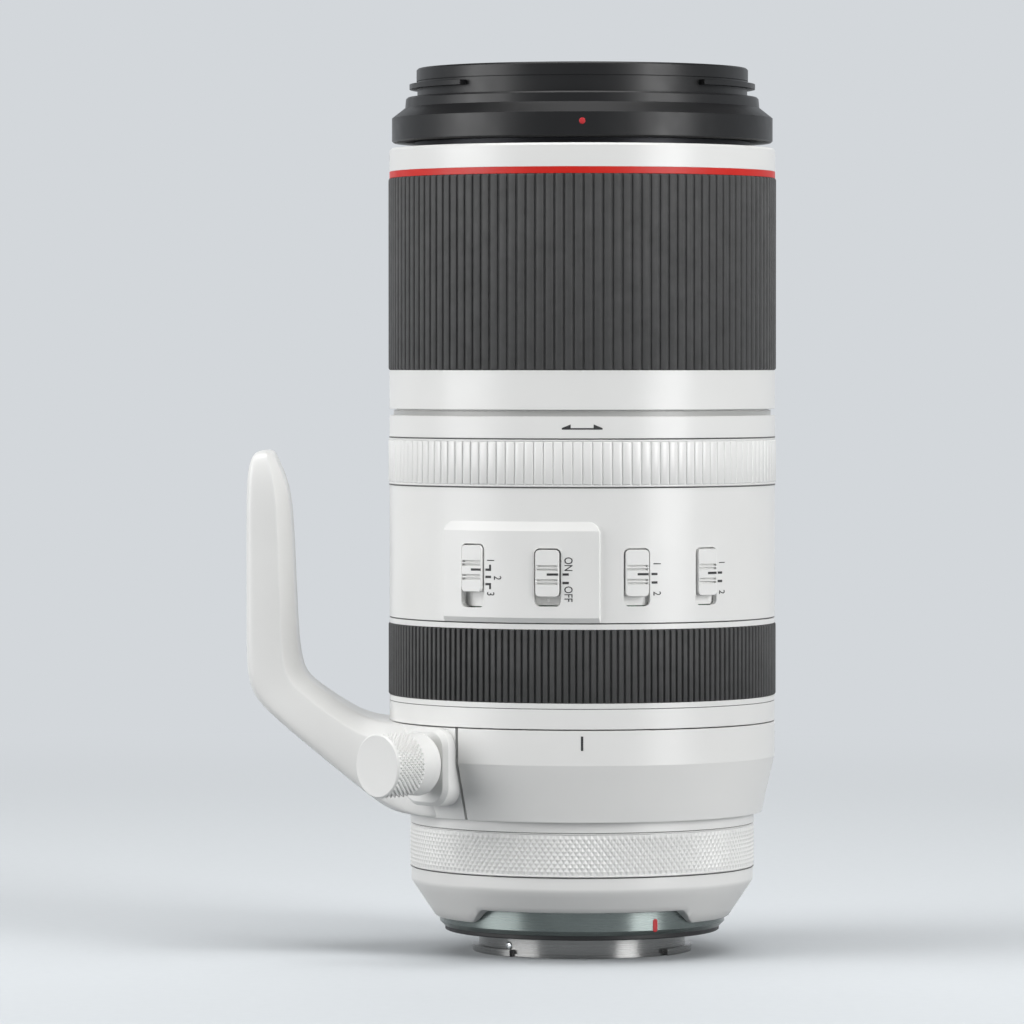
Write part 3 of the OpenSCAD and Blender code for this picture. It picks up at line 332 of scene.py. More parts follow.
for row in frame["record"]["subparts"]:
    node = frame["nodes"][row["node"]]
    node.data.materials.clear()
    node.data.materials.append(finishes[row["material_slot"]])
print("materials:", len(finishes), "finishes on the CAD nodes")


# Small helpers for shapes, in millimetres; an angle is in degrees from -Y, positive towards +X

def at(radius, angle, height):
    a = math.radians(angle)
    return Vector((radius * math.sin(a), -radius * math.cos(a), height)) * mm


def gridFaces(rows, columns, wrapRows, wrapColumns):
    faces = []
    for i in range(rows if wrapRows else rows - 1):
        for j in range(columns if wrapColumns else columns - 1):
            k = (i + 1) % rows
            m = (j + 1) % columns
            faces.append((i * columns + j, i * columns + m, k * columns + m, k * columns + j))
    return faces


def cappedFaces(rows, count):
    # an open tube of rows with a face over each end
    ends = [tuple(reversed(range(count))), tuple((rows - 1) * count + k for k in range(count))]
    return gridFaces(rows, count, False, True) + ends


def buildPiece(name, verts, faces, body, slot, material=None, sharp=35.0):
    mesh = bpy.data.meshes.new(name)
    mesh.from_pydata([tuple(v) for v in verts], [], faces)
    shape = bmesh.new()
    shape.from_mesh(mesh)
    bmesh.ops.remove_doubles(shape, verts=shape.verts, dist=weldGap)
    bmesh.ops.recalc_face_normals(shape, faces=shape.faces)
    shape.to_mesh(mesh)
    shape.free()
    for face in mesh.polygons:
        face.use_smooth = True
    mesh.set_sharp_from_angle(angle=math.radians(sharp))
    mesh.materials.append(material or finishes[slot])
    piece = bpy.data.objects.new(name, mesh)
    bpy.context.scene.collection.objects.link(piece)
    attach(piece, body)
    return piece


def turnedPiece(name, outline, count, body, slot, material=None, sharp=35.0):
    # a closed outline of radius and height, turned round the axis
    verts = [at(radius, 360 * j / count, height) for radius, height in outline for j in range(count)]
    return buildPiece(name, verts, gridFaces(len(outline), count, True, True), body, slot, material, sharp)


def spanOf(node):
    # outer radius, lower and upper height of a ring-shaped node
    low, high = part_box(node)
    return high.x / mm, low.z / mm, high.z / mm


# Ribbed rings: each rib is a few columns, each row gives the radius in a groove and on a crest
ribSpec = {"rimBevel": 0.1, "rootStep": 0.02, "endDrop": 0.35, "endShare": 0.3, "flankShare": 0.75}


def ribbedRing(name, node, body, slot, spec):
    outer, low, high = spanOf(node)
    inner, root, rim = outer - spec["wall"], outer - spec["depth"], spec["rim"]
    bevel, end = ribSpec["rimBevel"], spec["endRound"]
    # rows from one end to the middle, the other half mirrors them
    half = [(inner, inner, 0.0)]
    if rim:
        plain = outer - spec["rimDrop"]
        half += [(plain - bevel, plain - bevel, 0.0), (plain, plain, bevel), (plain, plain, rim - bevel)]
    half += [(root - ribSpec["rootStep"], root, rim),
             (root, outer - spec["depth"] * ribSpec["endDrop"], rim + end * ribSpec["endShare"]),
             (root, outer, rim + end)]
    rows = [(deep, crest, low + up) for deep, crest, up in half]
    rows += [(deep, crest, high - up) for deep, crest, up in reversed(half)]
    flank, groove, ribs = spec["flank"], spec["groove"], spec["ribs"]
    ribShape = [(0.0, 0.0), (groove, 0.0), (groove + flank, ribSpec["flankShare"]), (groove + 2 * flank, 1.0),
                ((1 + groove) / 2, 1.0), (1 - 2 * flank, 1.0), (1 - flank, ribSpec["flankShare"])]
    columns = [((rib + phase) * 360 / ribs, share) for rib in range(ribs) for phase, share in ribShape]
    verts = [at(deep + (crest - deep) * share, angle, height)
             for deep, crest, height in rows for angle, share in columns]
    piece = buildPiece(name, verts, gridFaces(len(rows), len(columns), True, True), body, slot, sharp=40)
    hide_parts(node)


zoomGripSpec = {"ribs": 128, "wall": 0.8, "depth": 0.4, "groove": 0.24, "flank": 0.05, "rim": 0.0, "endRound": 0.5}
focusGripSpec = {"ribs": 180, "wall": 0.8, "depth": 0.55, "groove": 0.28, "flank": 0.06, "rim": 0.0, "endRound": 0.4}
tensionSpec = {"ribs": 126, "wall": 1.6, "depth": 0.26, "groove": 0.1, "flank": 0.05, "rim": 0.5, "rimDrop": 0.12,
               "endRound": 0.3}
ribbedRing("zoomGripRubber", "zoom_grip", "zoom_ring", "grip_rubber", zoomGripSpec)
ribbedRing("focusGripRubber", "focus_grip", "focus_ring", "grip_rubber", focusGripSpec)
ribbedRing("tensionRingRibbed", "tension_ring", "tension_ring", "white_paint", tensionSpec)
print("ribbed rings: done")


def knurl(rows, first, last, count, closed, place):
    # points and faces of staggered pyramids from row first to row last; the creases run between valleys, so each
    # pyramid keeps four clean faces
    verts = []
    for i, (radius, rise, reach) in enumerate(rows):
        for j in range(count):
            apex = rise if first < i < last and (i + j) % 2 == 0 else 0
            verts.append(place(radius + apex, j / count, reach))
    faces = []
    for a, b, c, d in gridFaces(len(rows), count, closed, True):
        i, j = divmod(a, count)
        if not first <= i < last:
            faces.append((a, b, c, d))
        elif (i + j) % 2 == 0:
            faces += ((a, b, d), (b, c, d))
        else:
            faces += ((a, b, c), (a, c, d))
    return verts, faces


# Control ring with rows of staggered pyramids between two plain rims
controlSpec = {"pyramids": 180, "rows": 10, "rise": 0.32, "rim": 0.35, "rimDrop": 0.1, "rimGap": 0.1, "wall": 1.7,
               "edge": 0.12}


def knurledRing():
    outer, low, high = spanOf("control_ring")
    inner, root, plain = outer - controlSpec["wall"], outer - controlSpec["rise"], outer - controlSpec["rimDrop"]
    edge, rim = controlSpec["edge"], controlSpec["rim"]
    step = (high - low - 2 * rim) / controlSpec["rows"]
    rimRows = [(inner, 0.0), (plain - edge, 0.0), (plain, edge), (plain, rim - controlSpec["rimGap"])]
    rows = [(radius, 0, low + up) for radius, up in rimRows]
    first, last = len(rows), len(rows) + controlSpec["rows"]
    rows += [(root, controlSpec["rise"], low + rim + i * step) for i in range(controlSpec["rows"] + 1)]
    rows += [(radius, 0, high - up) for radius, up in reversed(rimRows)]
    verts, faces = knurl(rows, first, last, 2 * controlSpec["pyramids"], True, lambda r, turn, z: at(r, 360 * turn, z))
    piece = buildPiece("controlRingKnurled", verts, faces, "control_ring", "white_paint", sharp=18)
    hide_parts("control_ring")


knurledRing()
print("control ring: done")


# Painted shade: thin dark felt rings sit in the seams beside the turning rings and darken them, standing in for the
# shade deep in the gaps
seamShadeSpec = {"nodes": ("control_ring", "focus_ring", "tension_ring"), "seam": 0.3, "tall": 0.27, "inset": 0.07,
            "deep": 1.0, "points": 10, "columns": 180}


def seamShadeRings():
    corners = [2 * math.pi * k / seamShadeSpec["points"] for k in range(seamShadeSpec["points"])]
    for node in seamShadeSpec["nodes"]:
        outer, low, high = spanOf(node)
        middle = outer - seamShadeSpec["inset"] - seamShadeSpec["deep"] / 2
        for name, level in (("LowerSeamShade", low - seamShadeSpec["seam"] / 2), ("UpperSeamShade", high + seamShadeSpec["seam"] / 2)):
            outline = [(middle + seamShadeSpec["deep"] / 2 * math.cos(a), level + seamShadeSpec["tall"] / 2 * math.sin(a))
                       for a in corners]
            # each ring is a dark thing put where there is only shade: painted shade
            turnedPiece(node + name, outline, seamShadeSpec["columns"], "main_barrel", "black_felt", sharp=60)


# Painted shade: grey enamel on the floor of the groove behind the zoom ring, standing in for the shade in the groove
grooveShadeSpec = {"deep": 1.05, "tall": 1.6, "wall": 0.2, "proud": 0.04, "edge": 0.06, "gap": 0.4, "columns": 180,
              "tint": ("#a6a6a4", "#ababa9")}


def grooveFloor():
    outer = spanOf("label_band")[0] - grooveShadeSpec["deep"] + grooveShadeSpec["proud"]
    inner, edge, top = outer - grooveShadeSpec["wall"], grooveShadeSpec["edge"], spanOf("zoom_ring")[1]
    low, high = top - grooveShadeSpec["tall"] + edge, top - grooveShadeSpec["gap"]
    outline = [(inner, low), (outer - edge, low), (outer, low + edge), (outer, high - edge), (outer - edge, high),
               (inner, high)]
    # the greyer tint of this ring is painted shade
    turnedPiece("scaleGrooveShade", outline, grooveShadeSpec["columns"], "main_barrel", "white_paint",
                bakedEnamel("grooveShadeGreyEnamel", *grooveShadeSpec["tint"]))


seamShadeRings()
grooveFloor()
print("seam shade rings and groove: done")


# Rear cover: a cone whose lower edge rises in a soft ramp over the mount ring, on the side of the switches
coverSpec = {"cone": 8.8, "coneRows": 4, "footStep": 1.0, "wall": 1.5, "rim": 1.67, "notchTop": 3.4, "shelf": 0.4,
             "rampFrom": 21.6, "rampTo": 25.9, "edge": 0.22, "mountGap": 0.06, "columns": 360,
             # the round where the cone meets the band: its start below the bend, then drop and height of two points
             "bendFrom": 0.4, "bendRound": ((0.02, 0.25), (0.0, 0.6)), "innerBend": 0.2}


def rearCover():
    outer, low, high = spanOf("rear_cover")
    mount = spanOf("mount_bayonet")[0]
    foot, seat, inside = mount + coverSpec["footStep"], mount + coverSpec["mountGap"], outer - coverSpec["rim"]
    bend = low + coverSpec["cone"]
    shelf = low + coverSpec["notchTop"] + coverSpec["shelf"]
    edge, coneRows, count = coverSpec["edge"], coverSpec["coneRows"], coverSpec["columns"]

    def coneAt(z):
        return foot + (z - low) * (outer - foot) / coverSpec["cone"]

    columns = []
    for k in range(count):
        angle = 360 * k / count
        side = abs(mount * math.sin(math.radians(angle)))
        share = min(1.0, max(0.0, (coverSpec["rampTo"] - side) / (coverSpec["rampTo"] - coverSpec["rampFrom"])))
        share = share * share * (3 - 2 * share) if math.cos(math.radians(angle)) > 0 else 0.0
        z = low + coverSpec["notchTop"] * share
        climb = bend - coverSpec["bendFrom"] - z - edge
        levels = [z + edge + climb * t / coneRows for t in range(coneRows + 1)]
        outline = [(seat, z), (coneAt(z) - edge, z)] + [(coneAt(level), level) for level in levels]
        outline += [(outer - drop, bend + up) for drop, up in coverSpec["bendRound"]]
        outline += [(outer, high - edge), (outer - edge, high), (inside, high), (inside, bend - coverSpec["innerBend"]),
                    (coneAt(shelf) - coverSpec["wall"], shelf), (seat, shelf)]
        columns.append((angle, outline))
    rows = len(columns[0][1])
    verts = [at(outline[i][0], angle, outline[i][1]) for i in range(rows) for angle, outline in columns]
    faces = gridFaces(rows, count, True, True)
    piece = buildPiece("rearCoverShell", verts, faces, "main_barrel", "white_paint", sharp=32)
    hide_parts("rear_cover")


rearCover()
print("rear cover: done")


# Clamp knob: plain face with a thin bevel, diamond knurl, smooth neck at the back
knobSpec = {"diamonds": 38, "knurl": 8.4, "rise": 0.58, "knurlGap": 0.3, "band": 0.1, "edgeDrop": 0.05, "bevel": 0.4,
            "faceDish": 0.1, "faceRings": (0.88, 0.7, 0.45, 0.2), "neckInset": 4.0, "neck": 2.1,
            "backRound": 2.4, "backRows": 4, "backDrop": 0.15}


def clampKnob():
    joint = next(j for j in frame["joints"] if j["name"] == "clamp_turn")
    axis = Vector(joint["axis"]).normalized()
    origin = Vector(joint["pos_m"])
    cad = frame["nodes"]["clamp_knob"].data.vertices
    along = [(v.co - origin).dot(axis) / mm for v in cad]
    radius = max(((v.co - origin) - axis * (v.co - origin).dot(axis)).length for v in cad) / mm
    start, end = min(along), max(along)
    upward = Vector((0, 0, 1))
    aside = axis.cross(upward)
    count = 2 * knobSpec["diamonds"]
    pitch = 2 * math.pi * radius / count
    body, brim = start + knobSpec["neck"], end - knobSpec["bevel"]
    knurlRows = int(knobSpec["knurl"] / pitch)
    knurlStart = brim - knobSpec["knurlGap"] - knurlRows * pitch
    neck, back, edge = radius - knobSpec["neckInset"], knobSpec["backRound"], radius - knobSpec["edgeDrop"]
    rows = [(neck, 0, start), (neck, 0, body)]
    for k in range(knobSpec["backRows"] + 1):
        bend = math.pi / 2 * k / knobSpec["backRows"]
        rows.append((radius - back + back * math.sin(bend) - knobSpec["backDrop"], 0,
                     body + back - back * math.cos(bend)))
    first, last = len(rows), len(rows) + knurlRows
    rows += [(radius - knobSpec["rise"], knobSpec["rise"], knurlStart + i * pitch) for i in range(knurlRows + 1)]
    rows += [(edge, 0, brim - knobSpec["band"]), (edge, 0, brim), (edge - knobSpec["bevel"], 0, end)]
    rows += [(radius * share, 0, end - knobSpec["faceDish"] * (1 - share * share)) for share in knobSpec["faceRings"]]

    def place(r, turn, u):
        a = 2 * math.pi * turn
        return origin + (axis * u + (upward * math.cos(a) + aside * math.sin(a)) * r) * mm

    verts, faces = knurl(rows, first, last, count, False, place)
    top = (len(rows) - 1) * count
    verts.append(origin + axis * (end - knobSpec["faceDish"]) * mm)
    faces += [(top + j, top + (j + 1) % count, len(verts) - 1) for j in range(count)]
    verts.append(origin + axis * start * mm)
    faces += [((j + 1) % count, j, len(verts) - 1) for j in range(count)]
    piece = buildPiece("clampKnobKnurled", verts, faces, "clamp_knob", "white_paint", sharp=20)
    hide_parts("clamp_knob")


clampKnob()
print("clamp knob: done")


# Thin closed slabs that follow the barrel, for marks and switches
def slab(name, rows, columns, topAt, lowAt, body, slot, material=None, sharp=35.0):
    verts = [topAt(i, j) for i in range(rows) for j in range(columns)]
    verts += [lowAt(i, j) for i in range(rows) for j in range(columns)]
    half = rows * columns
    faces = gridFaces(rows, columns, False, False)
    faces += [tuple(half + v for v in reversed(face)) for face in faces]
    # once round the border: first row, last column, last row, first column
    loop = list(range(columns)) + [i * columns + columns - 1 for i in range(1, rows)]
    loop += [(rows - 1) * columns + j for j in range(columns - 2, -1, -1)]
    loop += [i * columns for i in range(rows - 2, 0, -1)]
    for k, v in enumerate(loop):
        w = loop[(k + 1) % len(loop)]
        faces.append((w, v, half + v, half + w))
    return buildPiece(name, verts, faces, body, slot, material, sharp)


# Switch knobs: thumb block with two pairs of grooves on a curved plate that closes the window
switchSpec = {
    "nodes": ("mode_switch", "stabiliser_switch", "focus_mode_switch", "range_switch"),
    "blockBand": 0.05, "corner": 1.0, "cornerRows": 5, "bevel": 0.2, "rootSink": 0.05,
    # columns across the block, as shares of its half width, and how far out the grooves run
    "columns": (-1.0, -0.96, -0.9, -0.84, -0.5, 0.0, 0.5, 0.84, 0.9, 0.96, 1.0), "grooveReach": 0.87,
    "grooves": (1.65, 0.85, -1.65, -2.45), "grooveDepth": 0.7, "grooveWidth": 0.5, "grooveFloor": 0.75,
    "plate": 0.45, "plateEdge": 0.1, "plateColumns": 12,
    "markAt": -0.25, "markLength": 2.9, "markWidth": 0.55, "markEnd": 0.95, "markLift": 0.02, "markSink": 0.1,
    "markColumns": 4,
}


def switchKnob(node):
    # radius, angle and height of the node's points; the outermost ones belong to the thumb block
    cad = [(math.hypot(v.co.x, v.co.y) / mm, math.degrees(math.atan2(v.co.x, -v.co.y)), v.co.z / mm)
           for v in frame["nodes"][node].data.vertices]
    outer, inner = max(cad)[0], min(cad)[0]
    block = [c for c in cad if c[0] > outer - switchSpec["blockBand"]]
    left, right = min(c[1] for c in block), max(c[1] for c in block)
    angle = (left + right) / 2
    low, high = min(c[2] for c in block), max(c[2] for c in block)
    plateTop = inner + switchSpec["plate"]
    plateHalf = max(c[1] for c in cad) - angle
    plateLow, plateHigh = min(c[2] for c in cad), max(c[2] for c in cad)
    middle = (low + high) / 2
    corner, cornerRows, shares = switchSpec["corner"], switchSpec["cornerRows"], switchSpec["columns"]
    halfWidth = math.radians(right - left) / 2 * outer
    heights = [low + corner * (1 - math.cos(math.pi / 2 * k / cornerRows)) for k in range(cornerRows + 1)]
    cuts = []
    for offset in switchSpec["grooves"]:
        half = switchSpec["grooveWidth"] / 2
        floor = half * switchSpec["grooveFloor"]
        cuts += [(middle + offset + aside, cut) for aside, cut in ((-half, 0), (-floor, 1), (floor, 1), (half, 0))]
    cuts.sort()
    topEnd = [high - (z - low) for z in reversed(heights)]
    stations = [(z, 0) for z in heights] + cuts + [(z, 0) for z in topEnd]

    def spot(i, j, radius):
        z = stations[i][0]
        near = min(z - low, high - z)
        width = halfWidth
        if near < corner:
            width = halfWidth - corner + math.sqrt(max(0.0, corner ** 2 - (corner - near) ** 2))
        return at(radius, angle + math.degrees(width * shares[j] / outer), z)

    def topAt(i, j):
        edge = abs(shares[j]) == 1.0 or i in (0, len(stations) - 1)
        cut = stations[i][1] if abs(shares[j]) < switchSpec["grooveReach"] else 0
        return spot(i, j, outer - (switchSpec["bevel"] if edge else 0) - cut * switchSpec["grooveDepth"])

    piece = slab(node + "Knob", len(stations), len(shares), topAt,
                 lambda i, j: spot(i, j, plateTop - switchSpec["rootSink"]), node, "white_plastic", sharp=30)
    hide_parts(node)
    count = switchSpec["plateColumns"]
    plateAngles = [angle + plateHalf * (2 * k / count - 1) for k in range(count + 1)]
    plateHeights = [plateLow, plateLow + switchSpec["plateEdge"], (plateLow + plateHigh) / 2,
                    plateHigh - switchSpec["plateEdge"], plateHigh]
    slab(node + "Plate", len(plateHeights), len(plateAngles),
         lambda i, j: at(plateTop, plateAngles[j], plateHeights[i]),
         lambda i, j: at(inner, plateAngles[j], plateHeights[i]), node, "white_plastic")
    count = switchSpec["markColumns"]
    markTop = middle + switchSpec["markAt"] + switchSpec["markWidth"] / 2
    markHeights = (markTop - switchSpec["markWidth"], markTop)
    markStart = math.degrees((halfWidth - switchSpec["markLength"]) / outer)
    markEnd = math.degrees(halfWidth * switchSpec["markEnd"] / outer)
    markAngles = [angle + markStart + (markEnd - markStart) * k / count for k in range(count + 1)]
    slab(node + "Index", len(markHeights), len(markAngles),
         lambda i, j: at(outer + switchSpec["markLift"], markAngles[j], markHeights[i]),
         lambda i, j: at(outer - switchSpec["markSink"], markAngles[j], markHeights[i]), node, "white_plastic", darkInk)
    return angle, middle, halfWidth


switchPlaces = {node: switchKnob(node) for node in switchSpec["nodes"]}
print("switches: done")


# Printed marks that follow the barrel: bars, dots and figures
printSpec = {"lift": 0.025, "sink": 0.08, "thick": 0.02, "barColumns": 4}
# a domed mark: share of its size and share of its rise, from the rim to the middle
domeSpec = {"rings": ((1.0, 0.4), (0.85, 0.8), (0.5, 1.0), (0.001, 1.0)), "sink": 0.12, "columns": 32}


def bar(name, body, radius, angle, height, across, along):
    half, count = math.degrees(across / 2 / radius), printSpec["barColumns"]
    angles = [angle - half + 2 * half * k / count for k in range(count + 1)]
    levels = (height - along / 2, height + along / 2)
    slab(name, len(levels), len(angles), lambda i, j: at(radius + printSpec["lift"], angles[j], levels[i]),
         lambda i, j: at(radius - printSpec["sink"], angles[j], levels[i]), body, "white_paint", darkInk)


def roundMark(name, body, material, slot, radius, angle, height, size, rise, stretch=0.0):
    # a domed dot, or a bar with round ends when it is stretched along the axis
    rings = [(1.0, -domeSpec["sink"])] + [(share, rise * part) for share, part in domeSpec["rings"]]
    count = domeSpec["columns"]
    verts = []
    for share, lift in rings:
        for k in range(count):
            a = 2 * math.pi * k / count
            up = math.sin(a) * size * share + (stretch / 2 if k <= count // 2 else -stretch / 2)
            verts.append(at(radius + lift, angle + math.degrees(math.cos(a) * size * share / radius), height + up))
    buildPiece(name, verts, cappedFaces(len(rings), count), body, slot, material)


def figures(name, body, text, radius, angle, height, size, narrow):
    # figures run down the barrel, as on the switch housing
    curve = bpy.data.curves.new(name, "FONT")
    curve.body = text
    curve.size = size * mm
    curve.align_x = "CENTER"
    curve.align_y = "CENTER"
    curve.extrude = printSpec["thick"] * mm
    curve.resolution_u = 6
    model = bpy.data.objects.new(name + "Outline", curve)
    bpy.context.scene.collection.objects.link(model)
    bpy.context.view_layer.update()
    flat = model.evaluated_get(bpy.context.evaluated_depsgraph_get()).to_mesh()
    verts = []
    for v in flat.vertices:
        x, y, lift = v.co.x / mm, v.co.y / mm, v.co.z / mm
        verts.append(at(radius + printSpec["lift"] + lift, angle + math.degrees(y / radius), height - x * narrow))
    faces = [tuple(face.vertices) for face in flat.polygons]
    model.to_mesh_clear()
    bpy.data.objects.remove(model)
    buildPiece(name, verts, faces, body, "white_paint", darkInk)


shellRadius = spanOf("label_band")[0]
panelRadius = max(math.hypot(v.co.x, v.co.y) for v in frame["nodes"]["switch_housing"].data.vertices) / mm
collarRadius = spanOf("rear_barrel")[0]
noseRadius = spanOf("hood_mount")[0]
mountRadius = spanOf("mount_bayonet")[0]

# Ticks beside the switches: one per position, the knob's index line stands at the upper one
tickSpec = {"gap": 0.75, "length": 1.5, "width": 0.55, "figure": 2.75, "narrow": 0.78, "figureShift": 0.55}
bracketSpec = {"inset": 0.25, "shift": 0.6, "across": 0.5, "along": 1.2}
# places of the figures: turn in degrees from their line, height above the index line
twoPlaces = ((0.0, 2.4), (0.0, -4.6))
switchMarks = {
    "mode_switch": {"radius": panelRadius, "steps": (0.0, -1.7, -3.4), "brackets": ((0, 1), (2, -1)),
                    "figures": ("1", "2", "3"), "places": ((0.0, 2.2), (2.2, -1.9), (0.0, -5.7))},
    "stabiliser_switch": {"radius": panelRadius, "steps": (0.0, -2.0), "figures": ("ON", "OFF"), "places": twoPlaces},
    "focus_mode_switch": {"radius": shellRadius, "steps": (0.0, -2.0), "figures": ("1", "2"), "places": twoPlaces},
    "range_switch": {"radius": shellRadius, "steps": (0.0, -2.0), "figures": ("1", "2"), "places": twoPlaces},
}
for node, marks in switchMarks.items():
    angle, middle, halfWidth = switchPlaces[node]
    centre = middle + switchSpec["markAt"]
    radius = marks["radius"]
    tickAngle = angle + math.degrees((halfWidth + tickSpec["gap"] + tickSpec["length"] / 2) / radius)
    for k, step in enumerate(marks["steps"]):
        bar(node + "Tick%d" % k, "main_barrel", radius, tickAngle, centre + step, tickSpec["length"], tickSpec["width"])
    bracketAngle = tickAngle + math.degrees((tickSpec["length"] / 2 - bracketSpec["inset"]) / radius)
    for k, side in marks.get("brackets", ()):
        level = centre + marks["steps"][k] + side * bracketSpec["shift"]
        bar(node + "Bracket%d" % k, "main_barrel", radius, bracketAngle, level, bracketSpec["across"],
            bracketSpec["along"])
    figureAngle = tickAngle + math.degrees(tickSpec["figureShift"] / radius)
    for k, (text, (turn, up)) in enumerate(zip(marks["figures"], marks["places"])):
        figures(node + "Figure%d" % k, "main_barrel", text, radius, figureAngle + turn, centre + up,
                tickSpec["figure"], tickSpec["narrow"])

# Double arrow of the tension ring on the label band: a line with a half barb at each end
arrowSpec = {"height": 120.75, "half": 4.8, "line": 0.38, "lineColumns": 17, "barb": 2.1, "barbRise": 0.85,
             "barbLift": 0.004, "barbColumns": 7}


def doubleArrow():
    half, barb = arrowSpec["half"], arrowSpec["barb"]
    low = arrowSpec["height"] - arrowSpec["line"] / 2
    strokes = (("Line", -half, half, 0.0, arrowSpec["lineColumns"]),
               ("Left", -half, barb - half, 1.0, arrowSpec["barbColumns"]),
               ("Right", half, half - barb, 1.0, arrowSpec["barbColumns"]))
    for name, start, end, tall, count in strokes:
        shares = [k / (count - 1) for k in range(count)]
        angles = [math.degrees((start + (end - start) * share) / shellRadius) for share in shares]
        rises = [arrowSpec["line"] + tall * arrowSpec["barbRise"] * share for share in shares]
        top = shellRadius + printSpec["lift"] + arrowSpec["barbLift"] * tall
        slab("tensionArrow" + name, 2, count, lambda i, j: at(top, angles[j], low + rises[j] * i),
             lambda i, j: at(shellRadius - printSpec["sink"], angles[j], low + rises[j] * i),
             "main_barrel", "white_paint", darkInk)


# Index marks of collar, hood and mount, and the steel pin of the bayonet's lock
collarMark = {"radius": collarRadius, "angle": 0.0, "height": 46.7, "across": 0.55, "along": 3.4}
hoodDot = {"radius": noseRadius, "angle": 0.0, "height": 193.1, "size": 0.75, "rise": 0.12}
mountBar = {"radius": mountRadius, "angle": 30.3, "height": 2.4, "size": 0.63, "rise": 0.08, "stretch": 1.9}
lockPin = {"radius": 25.0, "angle": -44.5, "height": -3.6, "size": 1.0, "rise": 0.3}

doubleArrow()
bar("collarIndex", "collar", **collarMark)
roundMark("hoodIndexDot", "front_barrel", redInk, "black_nose", **hoodDot)
roundMark("mountIndexBar", "main_barrel", redInk, "mount_steel", **mountBar)
roundMark("mountLockPin", "main_barrel", finishes["polished_steel"], "polished_steel", **lockPin)
print("marks: done")


# Drilled hole in the foot: the bush stands in it, so that its bore is open to the eye
drillSpec = {"columns": 48, "spare": 2.0, "hidden": 0.15, "sharp": 50}


def boreHole(piece):
    low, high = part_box("foot_bush")
    count, start, end = drillSpec["columns"], low.x - drillSpec["spare"] * mm, high.x
    radius, middle = (high.y - low.y) / 2 - drillSpec["hidden"] * mm, (low.z + high.z) / 2
    verts = [(x, radius * math.cos(2 * math.pi * k / count), middle + radius * math.sin(2 * math.pi * k / count))
             for x in (start, end) for k in range(count)]
    drill = bpy.data.meshes.new("bushDrill")
    drill.from_pydata(verts, [], cappedFaces(2, count))
    tool = bpy.data.objects.new("bushDrill", drill)
    bpy.context.scene.collection.objects.link(tool)
    hole = piece.modifiers.new("hole", "BOOLEAN")
    hole.operation, hole.solver, hole.object = "DIFFERENCE", "EXACT", tool
    bpy.context.view_layer.update()
    bored = bpy.data.meshes.new_from_object(piece.evaluated_get(bpy.context.evaluated_depsgraph_get()))
    piece.modifiers.clear()
    piece.data = bored
    bored.set_sharp_from_angle(angle=math.radians(drillSpec["sharp"]))
    bpy.data.objects.remove(tool)


# Tripod foot: stations along the arm, each with its outer and inner point in the XZ plane, its half width and
# the share by which it bends round the collar
footSpec = {
    # half of the section, from the outer face to the inner one: share of the thickness, share of the width
    "section": ((1.0, 0.45), (1.0, 0.78), (0.93, 0.95), (0.72, 1.0), (0.2, 1.0), (-0.2, 1.0), (-0.37, 1.0),
                (-0.42, 0.99), (-0.48, 0.95), (-0.88, 0.73), (-0.95, 0.68), (-1.0, 0.6), (-1.0, 0.25)),
    # the same points where the arm meets the collar, with a squarer lower edge
    "root": ((1.0, 0.5), (1.0, 0.94), (0.99, 0.985), (0.95, 1.0), (0.4, 1.0), (-0.2, 1.0), (-0.45, 1.0),
             (-0.5, 0.99), (-0.58, 0.97), (-0.9, 0.82), (-0.96, 0.78), (-1.0, 0.72), (-1.0, 0.3)),
    "wrap": 43.0,
    "stations": (
        ((-78.5, 115.1), (-75.1, 115.4), 9.2, 0), ((-79.8, 113.4), (-74.2, 113.9), 11.0, 0),
        ((-80.6, 110.3), (-72.5, 110.2), 12.0, 0), ((-80.9, 105.8), (-70.9, 105.6), 12.5, 0),
        ((-81.0, 98.0), (-70.1, 98.0), 12.5, 0), ((-81.0, 84.0), (-69.5, 84.0), 12.5, 0),
        ((-81.0, 70.0), (-68.9, 70.0), 12.5, 0), ((-80.9, 62.0), (-68.0, 63.8), 12.6, 0),
        ((-79.6, 56.6), (-66.6, 60.7), 12.8, 0), ((-76.4, 52.7), (-64.0, 58.5), 13.2, 0),
        ((-69.5, 46.8), (-58.6, 54.8), 14.4, 0), ((-60.0, 38.9), (-53.8, 51.7), 16.2, 0.15),
        ((-52.6, 32.4), (-50.2, 50.5), 19.2, 0.45), ((-49.4, 29.4), (-47.4, 49.9), 22.3, 0.75),
        ((-46.9, 27.9), (-45.2, 49.6), 25.0, 1.0), ((-44.0, 27.85), (-43.6, 49.6), 26.6, 1.0),
        ((-42.4, 27.85), (-42.4, 49.6), 27.0, 1.0), ((-42.4, 33.0), (-42.4, 44.5), 14.0, 1.0),
        ((-42.4, 38.0), (-42.4, 39.5), 3.0, 1.0)),
}


def tripodFoot():
    count = 2 * len(footSpec["section"])
    verts = []
    wrap = footSpec["wrap"]
    for (outX, outZ), (inX, inZ), width, share in footSpec["stations"]:
        centre = Vector(((outX + inX) / 2, 0, (outZ + inZ) / 2))
        reach = Vector(((outX - inX) / 2, 0, (outZ - inZ) / 2))
        half = [Vector(a).lerp(Vector(b), share) for a, b in zip(footSpec["section"], footSpec["root"])]
        for c, s in half + [(c, -s) for c, s in reversed(half)]:
            bend = share * (wrap - math.sqrt(wrap ** 2 - (width * s) ** 2))
            verts.append((centre + reach * c + Vector((bend, width * s, 0))) * mm)
    faces = cappedFaces(len(footSpec["stations"]), count)
    piece = buildPiece("tripodFootCast", verts, faces, "collar", "white_paint", sharp=180)
    smooth = piece.modifiers.new("smooth", "SUBSURF")
    smooth.levels = 2
    smooth.render_levels = 2
    boreHole(piece)
    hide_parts("tripod_foot")


